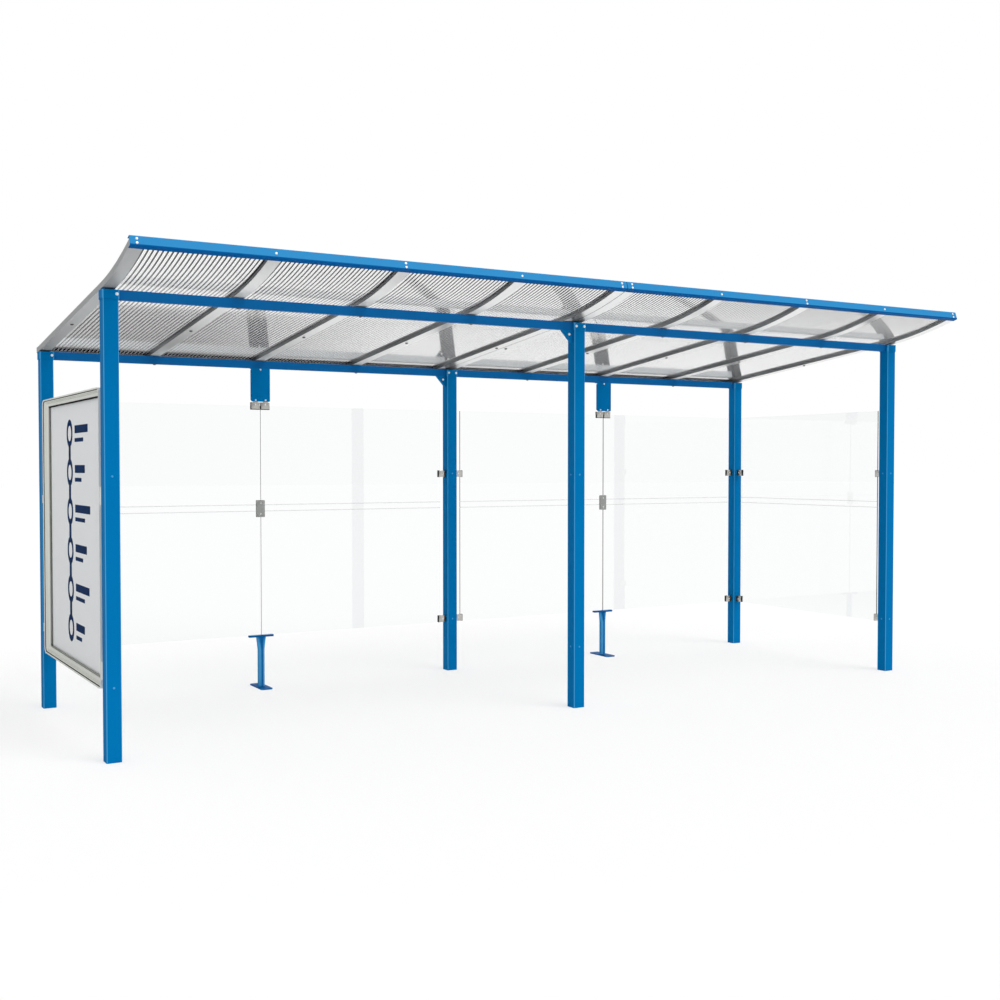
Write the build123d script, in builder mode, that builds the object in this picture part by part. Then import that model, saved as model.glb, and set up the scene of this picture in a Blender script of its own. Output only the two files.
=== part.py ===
"""Bus shelter of two bays: painted steel frame, glazed walls, poster case and a curved sheet roof.

Millimetres, +Z up, +X along the shelter, -Y is the open front. The origin is on the ground, in
the middle of the whole outline. The right bay is the main one, with a pair of posts at each end.
The left bay adds a pair at its far end and hangs on the middle posts.
"""

from build123d import *
from math import asin, atan, cos, degrees, sin
import os

# ---------------------------------------------------------------- frame sizes
post_side = 70.0
post_wall = 3.0
post_corner = 5.0
bay_pitch_left = 2540.0  # left posts to middle posts, centre to centre
bay_pitch_right = 2460.0  # middle posts to right posts
post_spread = 1485.0  # front row to rear row, centre to centre
front_beam_top = 2140.0
rear_beam_top = 1980.0
beam_height = 45.0
beam_depth = 30.0
beam_wall = 2.5
head_wall = 3.5  # sleeve folded round a post's top
head_lid = 2.0
head_slack = 0.2
head_drop = 3.0  # heads stop short of the beams' top
pad_thickness = 9.0  # blank end pads on the right pair
pad_width = 44.0
gusset_run = 64.0
gusset_drop = 70.0
gusset_sheet = 4.0
gusset_depth = 26.0

# ---------------------------------------------------------------- roof sizes
roof_rear_reach = 65.0  # past the rear row's centre line
roof_front_reach = 520.0  # ahead of the front row's centre line
roof_bend_start = 15.0  # the straight run ends this far behind the front row
roof_bend_radius = 2480.0
fields_per_module = 4
rafter_width = 60.0
rafter_depth = 16.0
rafter_wall = 2.0
rafter_stem = 5.0
rafter_cap = 2.0
rafter_seat = 0.3  # rafters over beams
module_gap = 4.0
sheet_thickness = 10.0
sheet_slack = 0.3
sheet_stem_gap = 5.5  # room for the sheets to grow, each side of a stem
edge_slack = 0.3  # folded edges off the rafters' ends
fascia_sheet = 2.0
fascia_face = 46.0
fascia_lip = 26.0
rear_edge_sheet = 1.5
rear_edge_lip = 24.0

# ---------------------------------------------------------------- glazing sizes
glass_thickness = 8.0
glass_bottom = 320.0
glass_height = 1390.0
glass_post_gap = 40.0
glass_seam_gap = 6.0
glass_slack = 0.3
clamp_length = 53.0
clamp_height = 42.0
clamp_thickness = 22.0
clamp_lower = 341.0  # clamp heights, centre
clamp_upper = 1296.0
clamp_tab = 3.0  # sheet tab up behind the hanger
clamp_tab_width = 32.0
clamp_tab_height = 31.0
clamp_spread = 62.0  # between the two clamps under a hanger
hanger_clamp_bite = 21.0  # glass in a hanger's clamps
hanger_width = 119.0
hanger_flange = 12.0
hanger_sheet = 3.0
hanger_gap = 25.0  # its lower edge above the glass
hanger_corner = 8.0
hanger_notch = 10.0
joiner_width = 53.0
joiner_height = 103.0
joiner_centre = 1088.0
joiner_sheet = 3.0
foot_bar_length = 151.0
foot_bar_height = 12.0
foot_bar_depth = 30.0
foot_stem = 42.0
foot_flare_width = 62.0
foot_flare_depth = 20.0
foot_flare_height = 75.0
foot_plate_width = 70.0
foot_plate_length = 215.0
foot_plate_sheet = 8.0
foot_plate_corner = 8.0
anchor_hole = 14.0
anchor_spacing = 150.0

# ---------------------------------------------------------------- poster case sizes
case_gap = 38.0
case_bottom = 320.0
case_height = 1385.0
case_depth = 50.0
case_corner = 35.0
case_lip = 2.0
case_rim = 10.0  # outer slope, as wide as deep
case_slope_width = 16.0
case_slope_depth = 24.0
case_rebate = 10.0  # window and back panel go this far under the frame
case_window_sheet = 4.0
case_back_sheet = 9.0
case_slack = 0.3
case_bracket_sheet = 4.0
case_bracket_depth = 30.0
case_bracket_inset = 4.0
front_bracket_height = 83.0
front_bracket_centres = (409.0, 1209.0)
rear_bracket_height = 45.0
rear_bracket_centres = (455.0, 1163.0)

# ---------------------------------------------------------------- places
half_post = post_side / 2
post_bore = post_side - 2 * post_wall
half_head = half_post + head_slack + head_wall
head_bore = post_side + 2 * head_slack
outline_length = bay_pitch_left + bay_pitch_right + 2 * half_head + pad_thickness
left_x = half_head - outline_length / 2
middle_x = left_x + bay_pitch_left
right_x = middle_x + bay_pitch_right
x_left = left_x - half_post
x_right = right_x + half_post
slope_angle = atan((front_beam_top - rear_beam_top) / post_spread)
roof_rise = sin(slope_angle)
roof_run = cos(slope_angle)
roof_grade = roof_rise / roof_run
end_angle = asin(roof_rise + (roof_bend_start + roof_front_reach) / roof_bend_radius)
front_outline = roof_front_reach + fascia_sheet + edge_slack * (sin(end_angle) + cos(end_angle))
rear_outline = max(foot_plate_length / 2, roof_rear_reach + rear_edge_sheet + edge_slack)
front_row = (front_outline - post_spread - rear_outline) / 2
rear_row = front_row + post_spread
roof_rear_y = rear_row + roof_rear_reach
roof_front_y = front_row - roof_front_reach
post_places = {
    "front_left": (left_x, front_row, front_beam_top),
    "front_middle": (middle_x, front_row, front_beam_top),
    "front_right": (right_x, front_row, front_beam_top),
    "rear_left": (left_x, rear_row, rear_beam_top),
    "rear_middle": (middle_x, rear_row, rear_beam_top),
    "rear_right": (right_x, rear_row, rear_beam_top),
}
module_split = middle_x - rafter_width / 2 - module_gap / 2
module_spans = {
    "left": (x_left, module_split - module_gap / 2),
    "right": (module_split + module_gap / 2, x_right),
}

# The roof line passes just over the rear top edges of both beams and runs straight from the rear
# to just behind the front row, where one arc bends it up.
front_seat_y = front_row + beam_depth / 2
bend_y = front_row + roof_bend_start
bend_z = front_beam_top + rafter_seat + (front_seat_y - bend_y) * roof_grade
roof_front_z = bend_z + roof_bend_radius * (roof_run - cos(end_angle))
roof_rear_z = bend_z - (roof_rear_y - bend_y) * roof_grade
roof_height = rafter_depth + sheet_thickness + 2 * sheet_slack + rafter_cap


def save(piece: Part, name: str) -> None:
    """Label a finished piece and write it to its own file."""
    piece.label = name
    export_step(piece, f"parts/{name}.step")


def rear_plane(x: float) -> Plane:
    """The cross-section at the roof's rear end: local x along +X, local y square up off the roof."""
    return Plane(origin=(x, roof_rear_y, roof_rear_z), x_dir=(1, 0, 0), z_dir=(0, -roof_run, roof_rise))


def front_plane(x: float) -> Plane:
    """Side view at the roof's front end: local x forward along the roof, local y square up off it."""
    return Plane(
        origin=(x, roof_front_y, roof_front_z),
        x_dir=(0, -cos(end_angle), sin(end_angle)),
        z_dir=(-1, 0, 0),
    )


def roof_line(x: float) -> BuildLine:
    """The underside of the roof from rear to front, at one place along the shelter."""
    with BuildLine(Plane.YZ.offset(x)) as line:
        straight = Line((roof_rear_y, roof_rear_z), (bend_y, bend_z))
        JernArc(
            start=straight @ 1,
            tangent=straight % 1,
            radius=roof_bend_radius,
            arc_size=-degrees(end_angle - slope_angle),
        )
    return line


os.makedirs("parts", exist_ok=True)

# ---------------------------------------------------------------- posts
for place, (x, y, beam_top) in post_places.items():
    with BuildPart() as post:
        with BuildSketch(Plane((x, y, 0))):
            RectangleRounded(post_side, post_side, post_corner)
            RectangleRounded(post_bore, post_bore, post_corner - post_wall, mode=Mode.SUBTRACT)
        extrude(amount=beam_top - head_drop - head_lid)
    save(post.part, f"post_{place}")

# ---------------------------------------------------------------- beams
beam_bays = {
    "front_beam_left": (left_x, middle_x, front_row, front_beam_top),
    "front_beam_right": (middle_x, right_x, front_row, front_beam_top),
    "rear_beam_left": (left_x, middle_x, rear_row, rear_beam_top),
    "rear_beam_right": (middle_x, right_x, rear_row, rear_beam_top),
}
for name, (x0, x1, y, top) in beam_bays.items():
    with BuildPart() as beam:
        with BuildSketch(Plane((x0 + half_head, y, top - beam_height / 2), x_dir=(0, 1, 0), z_dir=(1, 0, 0))):
            Rectangle(beam_depth, beam_height)
            Rectangle(beam_depth - 2 * beam_wall, beam_height - 2 * beam_wall, mode=Mode.SUBTRACT)
        extrude(amount=x1 - x0 - 2 * half_head)
    save(beam.part, name)

# ---------------------------------------------------------------- post heads and gussets
with BuildPart() as head_brackets:
    for place, (x, y, beam_top) in post_places.items():
        head_bottom = beam_top - beam_height
        with BuildSketch(Plane((x, y, head_bottom))):
            RectangleRounded(2 * half_head, 2 * half_head, post_corner + head_wall)
        extrude(amount=beam_height - head_drop)
        with BuildSketch(Plane((x, y, head_bottom))):
            RectangleRounded(head_bore, head_bore, post_corner)
        extrude(amount=beam_height - head_drop - head_lid, mode=Mode.SUBTRACT)
        if x == right_x:
            with BuildSketch(Plane((x + half_head, y, head_bottom), x_dir=(0, 1, 0), z_dir=(1, 0, 0))):
                Rectangle(pad_width, beam_height - head_drop, align=(Align.CENTER, Align.MIN))
            extrude(amount=pad_thickness)
        if x == middle_x:
            cheek = gusset_depth / 2
            face = x - half_post - head_slack
            with BuildSketch(Plane((face, y - cheek, head_bottom), x_dir=(-1, 0, 0), z_dir=(0, 1, 0))):
                Polygon((0, 0), (gusset_run, 0), (0, -gusset_drop), align=None)
            extrude(amount=gusset_depth)
            inner = Plane((face, y - cheek + gusset_sheet, head_bottom), x_dir=(-1, 0, 0), z_dir=(0, 1, 0))
            shrink = 1 - 2 * gusset_sheet / gusset_run
            with BuildSketch(inner):
                Polygon((0, 0), (gusset_run * shrink, 0), (0, -gusset_drop * shrink), align=None)
            extrude(amount=gusset_depth - 2 * gusset_sheet, mode=Mode.SUBTRACT)
save(head_brackets.part, "head_brackets")

# ---------------------------------------------------------------- rafters and roof sheets
# The sheets of a module are all one width, so the rafters' stems stand at one pitch. The stems of
# the end rafters stand at their outer sides, which brings those rafters nearer to their neighbours.
stem_height = sheet_thickness + 2 * sheet_slack
stem_offset = (rafter_width - rafter_stem) / 2
for module, (x0, x1) in module_spans.items():
    stem_pitch = (x1 - x0 - rafter_stem) / fields_per_module
    stem_x = [x0 + rafter_stem / 2 + i * stem_pitch for i in range(fields_per_module + 1)]
    for i, x in enumerate(stem_x):
        box_offset = {0: stem_offset, fields_per_module: -stem_offset}.get(i, 0)
        line = roof_line(x)
        with BuildPart() as rafter:
            with BuildSketch(rear_plane(x)):
                with Locations((box_offset, rafter_depth / 2)):
                    Rectangle(rafter_width, rafter_depth)
                    Rectangle(
                        rafter_width - 2 * rafter_wall, rafter_depth - 2 * rafter_wall, mode=Mode.SUBTRACT
                    )
                with Locations((0, rafter_depth)):
                    Rectangle(rafter_stem, stem_height, align=(Align.CENTER, Align.MIN))
                with Locations((box_offset, rafter_depth + stem_height)):
                    Rectangle(rafter_width, rafter_cap, align=(Align.CENTER, Align.MIN))
            sweep(path=line.wire())
        save(rafter.part, f"rafter_{module}_{i + 1}")
    sheet_width = stem_pitch - rafter_stem - 2 * sheet_stem_gap
    for i in range(fields_per_module):
        middle = (stem_x[i] + stem_x[i + 1]) / 2
        line = roof_line(middle)
        with BuildPart() as sheet:
            with BuildSketch(rear_plane(middle)):
                with Locations((0, rafter_depth + sheet_slack)):
                    Rectangle(sheet_width, sheet_thickness, align=(Align.CENTER, Align.MIN))
            sweep(path=line.wire())
        save(sheet.part, f"roof_sheet_{module}_{i + 1}")

# ---------------------------------------------------------------- folded edges of the roof
for module, (x0, x1) in module_spans.items():
    with BuildPart() as fascia:
        with BuildSketch(front_plane(x1)):
            low = -edge_slack - fascia_sheet
            with BuildLine():
                FilletPolyline(
                    (-fascia_lip, low),
                    (edge_slack + fascia_sheet, low),
                    (edge_slack + fascia_sheet, low + fascia_face),
                    (-fascia_lip, low + fascia_face),
                    radius=fascia_sheet,
                )
                offset(amount=fascia_sheet, side=Side.LEFT, closed=True)
            make_face()
        extrude(amount=x1 - x0)
    save(fascia.part, f"fascia_{module}")
    with BuildPart() as rear_edge:
        side_plane = Plane((x0, roof_rear_y, roof_rear_z), x_dir=(0, roof_run, -roof_rise), z_dir=(1, 0, 0))
        with BuildSketch(side_plane):
            with BuildLine():
                Polyline(
                    (edge_slack, 0),
                    (edge_slack, roof_height + edge_slack),
                    (-rear_edge_lip, roof_height + edge_slack),
                    (-rear_edge_lip, roof_height + edge_slack + rear_edge_sheet),
                    (edge_slack + rear_edge_sheet, roof_height + edge_slack + rear_edge_sheet),
                    (edge_slack + rear_edge_sheet, 0),
                    close=True,
                )
            make_face()
        extrude(amount=x1 - x0)
    save(rear_edge.part, f"rear_edge_{module}")

# ---------------------------------------------------------------- glass walls
# Each bay of the rear wall has two panes that meet on a seam. The seam stands under the middle
# rafter of its module, so the left bay's right-hand gap is the wider one.
glass_top = glass_bottom + glass_height
hanger_drop = rear_beam_top - beam_height - hanger_gap - glass_top
seam_x = {module: (x0 + x1) / 2 for module, (x0, x1) in module_spans.items()}
pane_spans = {
    "rear_glass_1": (left_x + half_post + glass_post_gap, seam_x["left"] - glass_seam_gap / 2),
    "rear_glass_2": (seam_x["left"] + glass_seam_gap / 2, middle_x - half_post - glass_post_gap),
    "rear_glass_3": (middle_x + half_post + glass_post_gap, seam_x["right"] - glass_seam_gap / 2),
    "rear_glass_4": (seam_x["right"] + glass_seam_gap / 2, right_x - half_post - glass_post_gap),
}
for name, (x0, x1) in pane_spans.items():
    with BuildPart() as pane:
        with BuildSketch(Plane((x0, rear_row, glass_bottom))):
            Rectangle(x1 - x0, glass_thickness, align=(Align.MIN, Align.CENTER))
        extrude(amount=glass_height)
    save(pane.part, name)
with BuildPart() as end_pane:
    pane_start = front_row + half_post + glass_post_gap
    pane_stop = rear_row - half_post - glass_post_gap
    with BuildSketch(Plane((right_x, pane_start, glass_bottom))):
        Rectangle(glass_thickness, pane_stop - pane_start, align=(Align.CENTER, Align.MIN))
    extrude(amount=glass_height)
save(end_pane.part, "end_glass")

# ---------------------------------------------------------------- clamps and joiner plates
slot_width = glass_thickness + 2 * glass_slack
slot_depth = clamp_length - glass_post_gap + glass_slack
rear_clamps = [
    (left_x + half_post, 1),
    (middle_x - half_post, -1),
    (middle_x + half_post, 1),
    (right_x - half_post, -1),
]
end_clamps = [(front_row + half_post, 1), (rear_row - half_post, -1)]
clamp_planes = []
for height in (clamp_lower, clamp_upper):
    for face, way in rear_clamps:
        clamp_planes.append(Plane((face, rear_row, height), x_dir=(0, 0, 1), z_dir=(way, 0, 0)))
    for face, way in end_clamps:
        clamp_planes.append(Plane((right_x, face, height), x_dir=(0, 0, 1), z_dir=(0, way, 0)))
hanger_front = rear_row - beam_depth / 2
clamp_top = glass_top - hanger_clamp_bite + clamp_height
with BuildPart() as glass_fittings:
    for plane in clamp_planes:
        with BuildSketch(plane):
            Rectangle(clamp_height, clamp_thickness)
        extrude(amount=clamp_length)
        with BuildSketch(plane.offset(clamp_length)):
            Rectangle(clamp_height, slot_width)
        extrude(amount=-slot_depth, mode=Mode.SUBTRACT)
    for x in seam_x.values():
        for way in (-1, 1):
            clamp_x = x + way * clamp_spread / 2
            with BuildSketch(Plane((clamp_x, rear_row, clamp_top - clamp_height))):
                Rectangle(clamp_length, clamp_thickness)
            extrude(amount=clamp_height)
            with BuildSketch(Plane((clamp_x, rear_row, clamp_top - clamp_height))):
                Rectangle(clamp_length, slot_width)
            extrude(amount=hanger_clamp_bite + glass_slack, mode=Mode.SUBTRACT)
            with BuildSketch(Plane((clamp_x, hanger_front + hanger_sheet, clamp_top))):
                Rectangle(clamp_tab_width, clamp_tab, align=(Align.CENTER, Align.MIN))
            extrude(amount=clamp_tab_height)
        for way in (-1, 1):
            face_y = rear_row + way * (glass_thickness / 2 + glass_slack)
            with BuildSketch(Plane((x, face_y, joiner_centre), x_dir=(1, 0, 0), z_dir=(0, way, 0))):
                Rectangle(joiner_width, joiner_height)
            extrude(amount=joiner_sheet)
save(glass_fittings.part, "glass_fittings")

# ---------------------------------------------------------------- hangers and feet of the seams
for module, x in seam_x.items():
    beam_under = rear_beam_top - beam_height
    with BuildPart() as hanger:
        with BuildSketch(Plane((x, hanger_front, beam_under), x_dir=(1, 0, 0), z_dir=(0, -1, 0))) as web:
            Rectangle(hanger_width, hanger_drop, align=(Align.CENTER, Align.MAX))
            fillet(web.vertices().group_by(Axis.Y)[0], radius=hanger_corner)
        extrude(amount=-hanger_sheet)
        with BuildSketch(Plane((x, hanger_front, beam_under))):
            inner = hanger_width - 2 * hanger_sheet
            Rectangle(inner, beam_depth, align=(Align.CENTER, Align.MIN))
        extrude(amount=-hanger_sheet)
        for way in (-1, 1):
            with BuildSketch(Plane((x + way * hanger_width / 2, hanger_front, beam_under - hanger_notch))):
                Rectangle(
                    hanger_sheet, hanger_flange, align=(Align.MAX if way > 0 else Align.MIN, Align.MIN)
                )
            extrude(amount=-(hanger_drop - hanger_notch - hanger_corner))
    save(hanger.part, f"hanger_{module}")

    with BuildPart() as foot:
        with BuildSketch():
            with Locations((x, rear_row)):
                RectangleRounded(foot_plate_width, foot_plate_length, foot_plate_corner)
                with GridLocations(0, anchor_spacing, 1, 2):
                    Circle(anchor_hole / 2, mode=Mode.SUBTRACT)
        extrude(amount=foot_plate_sheet)
        bar_bottom = glass_bottom - glass_slack - foot_bar_height
        flare_bottom = bar_bottom - foot_flare_height
        with BuildSketch(Plane((x, rear_row, foot_plate_sheet))):
            Circle(foot_stem / 2)
        extrude(amount=flare_bottom - foot_plate_sheet)
        with BuildSketch(Plane((x, rear_row, flare_bottom))):
            Circle(foot_stem / 2)
        with BuildSketch(Plane((x, rear_row, bar_bottom))):
            Ellipse(foot_flare_width / 2, foot_flare_depth / 2)
        loft()
        with BuildSketch(Plane((x, rear_row, bar_bottom))):
            Rectangle(foot_bar_length, foot_bar_depth)
        extrude(amount=foot_bar_height)
    save(foot.part, f"foot_{module}")

# ---------------------------------------------------------------- poster case
case_width = post_spread - post_side - 2 * case_gap
case_centre_y = (front_row + rear_row) / 2
case_centre_z = case_bottom + case_height / 2
case_inset = case_lip + case_rim + case_slope_width
case_pane_width = case_width - 2 * (case_inset - case_rebate + case_slack)
case_pane_height = case_height - 2 * (case_inset - case_rebate + case_slack)


def case_plane(depth: float) -> Plane:
    """The case seen from outside, at a depth behind its outer face, drawn with depth as +Z."""
    return Plane((x_left + depth, case_centre_y, case_centre_z), x_dir=(0, 1, 0), z_dir=(1, 0, 0))


with BuildPart() as case_frame:
    with BuildSketch(case_plane(0)):
        RectangleRounded(case_width, case_height, case_corner)
    extrude(amount=case_depth)
    with BuildSketch(case_plane(0)):
        RectangleRounded(
            case_width - 2 * case_lip, case_height - 2 * case_lip, case_corner - case_lip
        )
    extrude(amount=case_rim, taper=45, mode=Mode.SUBTRACT)
    with BuildSketch(case_plane(case_rim)):
        rim_inset = case_lip + case_rim
        RectangleRounded(case_width - 2 * rim_inset, case_height - 2 * rim_inset, case_corner - rim_inset)
    slope = degrees(atan(case_slope_width / case_slope_depth))
    extrude(amount=case_slope_depth, taper=slope, mode=Mode.SUBTRACT)
    with BuildSketch(case_plane(case_rim)):
        Rectangle(case_width - 2 * case_inset, case_height - 2 * case_inset)
    extrude(amount=case_depth, mode=Mode.SUBTRACT)
    with BuildSketch(case_plane(case_rim + case_slope_depth)):
        Rectangle(case_pane_width + 2 * case_slack, case_pane_height + 2 * case_slack)
    extrude(amount=case_depth, mode=Mode.SUBTRACT)
save(case_frame.part, "case_frame")

with BuildPart() as case_window:
    with BuildSketch(case_plane(case_rim + case_slope_depth + case_slack)):
        Rectangle(case_pane_width, case_pane_height)
    extrude(amount=case_window_sheet)
save(case_window.part, "case_window")
with BuildPart() as case_back:
    with BuildSketch(case_plane(case_depth)):
        Rectangle(case_pane_width, case_pane_height)
    extrude(amount=-case_back_sheet)
save(case_back.part, "case_back")

bracket_rows = [
    (front_row + half_post, 1, front_bracket_height, front_bracket_centres),
    (rear_row - half_post, -1, rear_bracket_height, rear_bracket_centres),
]
with BuildPart() as case_brackets:
    for face, way, height, centres in bracket_rows:
        for centre in centres:
            bracket_x = x_left + case_bracket_inset
            with BuildSketch(Plane((bracket_x, face, centre - height / 2))):
                with BuildLine():
                    Polyline(
                        (0, 0),
                        (case_bracket_depth, 0),
                        (case_bracket_depth, way * case_bracket_sheet),
                        (case_bracket_sheet, way * case_bracket_sheet),
                        (case_bracket_sheet, way * (case_gap - case_bracket_sheet)),
                        (case_bracket_depth, way * (case_gap - case_bracket_sheet)),
                        (case_bracket_depth, way * case_gap),
                        (0, way * case_gap),
                        close=True,
                    )
                make_face()
            extrude(amount=height)
save(case_brackets.part, "case_brackets")
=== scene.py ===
"""Looks of a two-bay bus shelter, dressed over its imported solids.

Metres, +Z up, +X along the shelter and -Y out of its open front. Sizes in the classes are in
millimetres, as a fitter reads them, and `mm` turns them to metres.
"""

import logging
import math
from collections.abc import Callable, Iterator, Sequence
from contextlib import contextmanager
from dataclasses import dataclass, field, replace
from enum import Enum
from functools import cached_property

import bmesh
import bpy
from mathutils import Matrix, Vector


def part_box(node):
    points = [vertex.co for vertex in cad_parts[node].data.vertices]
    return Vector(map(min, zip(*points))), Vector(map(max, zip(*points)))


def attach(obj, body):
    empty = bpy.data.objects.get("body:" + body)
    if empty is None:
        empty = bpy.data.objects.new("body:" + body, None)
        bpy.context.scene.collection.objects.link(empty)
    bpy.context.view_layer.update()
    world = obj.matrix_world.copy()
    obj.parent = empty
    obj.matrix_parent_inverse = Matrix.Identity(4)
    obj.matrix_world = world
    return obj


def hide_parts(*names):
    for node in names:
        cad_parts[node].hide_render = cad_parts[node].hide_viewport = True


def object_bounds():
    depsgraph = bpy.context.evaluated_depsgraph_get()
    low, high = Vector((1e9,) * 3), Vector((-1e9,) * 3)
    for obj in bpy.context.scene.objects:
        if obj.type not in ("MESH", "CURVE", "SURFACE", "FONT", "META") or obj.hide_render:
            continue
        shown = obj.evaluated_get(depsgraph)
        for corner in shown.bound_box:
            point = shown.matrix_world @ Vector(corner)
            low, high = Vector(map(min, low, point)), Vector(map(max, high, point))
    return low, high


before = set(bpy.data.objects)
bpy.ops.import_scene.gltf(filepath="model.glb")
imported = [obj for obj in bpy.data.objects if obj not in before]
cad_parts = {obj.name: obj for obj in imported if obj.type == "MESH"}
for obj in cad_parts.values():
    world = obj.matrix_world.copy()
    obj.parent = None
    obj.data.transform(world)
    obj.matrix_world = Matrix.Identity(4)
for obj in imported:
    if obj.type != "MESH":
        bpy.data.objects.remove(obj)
cad_low, cad_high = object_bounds()
log = logging.getLogger("shelter")

Node, Socket, Piece = bpy.types.Node, bpy.types.NodeSocket, bpy.types.Object
Box = tuple[Vector, Vector]

MODULES = ("left", "right")
RAFTERS = [(module, number) for module in MODULES for number in range(1, 6)]
UP, OUT = Vector((0, 0, 1)), Vector((0, -1, 0))
# Two coordinates in metres that are this close are the same.
NEAR = 1e-5
# A face squarely faces an axis from this share of its normal on.
SQUARE_ON = 0.9
# The same in a shader, where a rounded edge goes with the face that it turns towards.
TURNED_TO = 0.5


def mm(*values: float) -> float | Vector:
    """Turn millimetres to metres.

    Args:
        values: One length, or the three of a point.

    Returns:
        A number for one length, and a vector for three.
    """
    scaled = [value / 1000 for value in values]
    return scaled[0] if len(scaled) == 1 else Vector(scaled)


# ---------------- node helpers


def linear(colour: str) -> tuple[float, float, float, float]:
    """Turn an sRGB hex value to the linear colour that shaders take.

    Args:
        colour: Six hex digits.

    Returns:
        Red, green, blue and alpha.
    """
    levels = [int(colour[i : i + 2], 16) / 255 for i in (0, 2, 4)]
    return (*(v / 12.92 if v <= 0.04045 else ((v + 0.055) / 1.055) ** 2.4 for v in levels), 1.0)


@dataclass(frozen=True)
class Tree:
    """The node tree of a material or of the sky, while it is built."""

    nodes: bpy.types.NodeTree

    @cached_property
    def place(self) -> Socket:
        """Object coordinates in metres."""
        return self.add("TexCoord").outputs["Object"]

    def add(self, kind: str, inputs: dict | None = None, **settings: object) -> Node:
        """Add a shader node with its settings and links.

        Args:
            kind: The node's type, without its prefix.
            inputs: Input name or number to a value, or to what feeds it: a socket, or a node,
                which stands for its first output in use.
            settings: The node's own properties.

        Returns:
            The new node.
        """
        node = self.nodes.nodes.new("ShaderNode" + kind)
        for name, value in settings.items():
            setattr(node, name, value)
        for name, value in (inputs or {}).items():
            if isinstance(value, Node):
                value = next(socket for socket in value.outputs if socket.enabled)
            if isinstance(value, Socket):
                self.nodes.links.new(value, node.inputs[name])
            else:
                node.inputs[name].default_value = value
        return node

    def mirror_ray(self) -> Node:
        """Tell a mirrored ray from one that came through glass.

        Returns:
            1 for a mirrored ray, and 0 for any other.
        """
        ray = self.add("LightPath").outputs
        ends = {0: ray["Is Glossy Ray"], 1: ray["Is Transmission Ray"]}
        return self.add("Math", ends, operation="SUBTRACT", use_clamp=True)

    def seen_ray(self) -> Node:
        """Tell the rays from the camera and through clear pieces.

        Returns:
            1 for such a ray, and 0 for the rest.
        """
        ray = self.add("LightPath").outputs
        ends = {0: ray["Is Camera Ray"], 1: ray["Is Transmission Ray"]}
        return self.add("Math", ends, operation="MAXIMUM")

    def grain(self, detail: float, *sizes: float) -> Node:
        """Lay a noise over the surface.

        Args:
            detail: How much finer detail it has.
            sizes: Its coarseness in millimetres: one for all ways, or three for X, Y and Z.

        Returns:
            The noise.
        """
        scale = [1000 / size for size in (sizes if len(sizes) == 3 else sizes * 3)]
        along = self.add("Mapping", {"Vector": self.place, "Scale": scale})
        return self.add("TexNoise", {"Vector": along, "Scale": 1.0, "Detail": detail})

    def facing(self, kind: str = "Normal") -> bpy.types.NodeOutputs:
        """Split the way a surface faces, or with True Normal the way its face does."""
        normal = self.add("NewGeometry").outputs[kind]
        return self.add("SeparateXYZ", {"Vector": normal}).outputs

    def satin(
        self,
        gloss: Node,
        roughness: float,
        spread: tuple[float, float],
        relief: Node,
        bump: tuple[float, float],
        sockets: dict,
    ) -> Node:
        """Build a surface whose gloss and relief follow patterns.

        Args:
            gloss: The pattern of the roughness.
            roughness: Its middle value.
            spread: How far the roughness goes below and above it.
            relief: The pattern of the height.
            bump: Its strength, and its height in millimetres.
            sockets: The shader's other sockets and their values.

        Returns:
            The shader.
        """
        low, high = (roughness + way for way in spread)
        rough = self.add("MapRange", {"Value": gloss, "To Min": low, "To Max": high})
        height = {"Strength": bump[0], "Distance": mm(bump[1]), "Height": relief}
        ends = {"Roughness": rough, "Normal": self.add("Bump", height)}
        return self.add("BsdfPrincipled", sockets | ends)

    def let_lamps_through(self, shader: Node, tint: str) -> Node:
        """Let lamp light pass a clear material, which bent light would not.

        Args:
            shader: The clear material's own shader.
            tint: Hex colour of the light that gets through.

        Returns:
            The mixed shader.
        """
        shadow = self.add("LightPath").outputs["Is Shadow Ray"]
        open_way = self.add("BsdfTransparent", {"Color": linear(tint)})
        return self.add("MixShader", {0: shadow, 1: shader, 2: open_way})


def fresh_tree(owner: bpy.types.Material | bpy.types.World) -> Tree:
    """Give a material or a world an empty node tree.

    Args:
        owner: The material or world.

    Returns:
        Its tree.
    """
    owner.use_nodes = True
    owner.node_tree.nodes.clear()
    return Tree(owner.node_tree)


# ---------------- finishes


@dataclass(frozen=True)
class Finish:
    """A real surface, made once as a material and then shared."""

    name: str

    def surface(self, tree: Tree) -> Node:
        """Build the shader.

        Args:
            tree: The material's tree.

        Returns:
            The shader.
        """
        raise NotImplementedError

    def material(self) -> bpy.types.Material:
        """Make the finish's material on the first call, and find it on later ones.

        Returns:
            The material.
        """
        made = bpy.data.materials.get(self.name)
        if made is None:
            made = bpy.data.materials.new(self.name)
            tree = fresh_tree(made)
            tree.add("OutputMaterial", {"Surface": self.surface(tree)})
        return made


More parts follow.
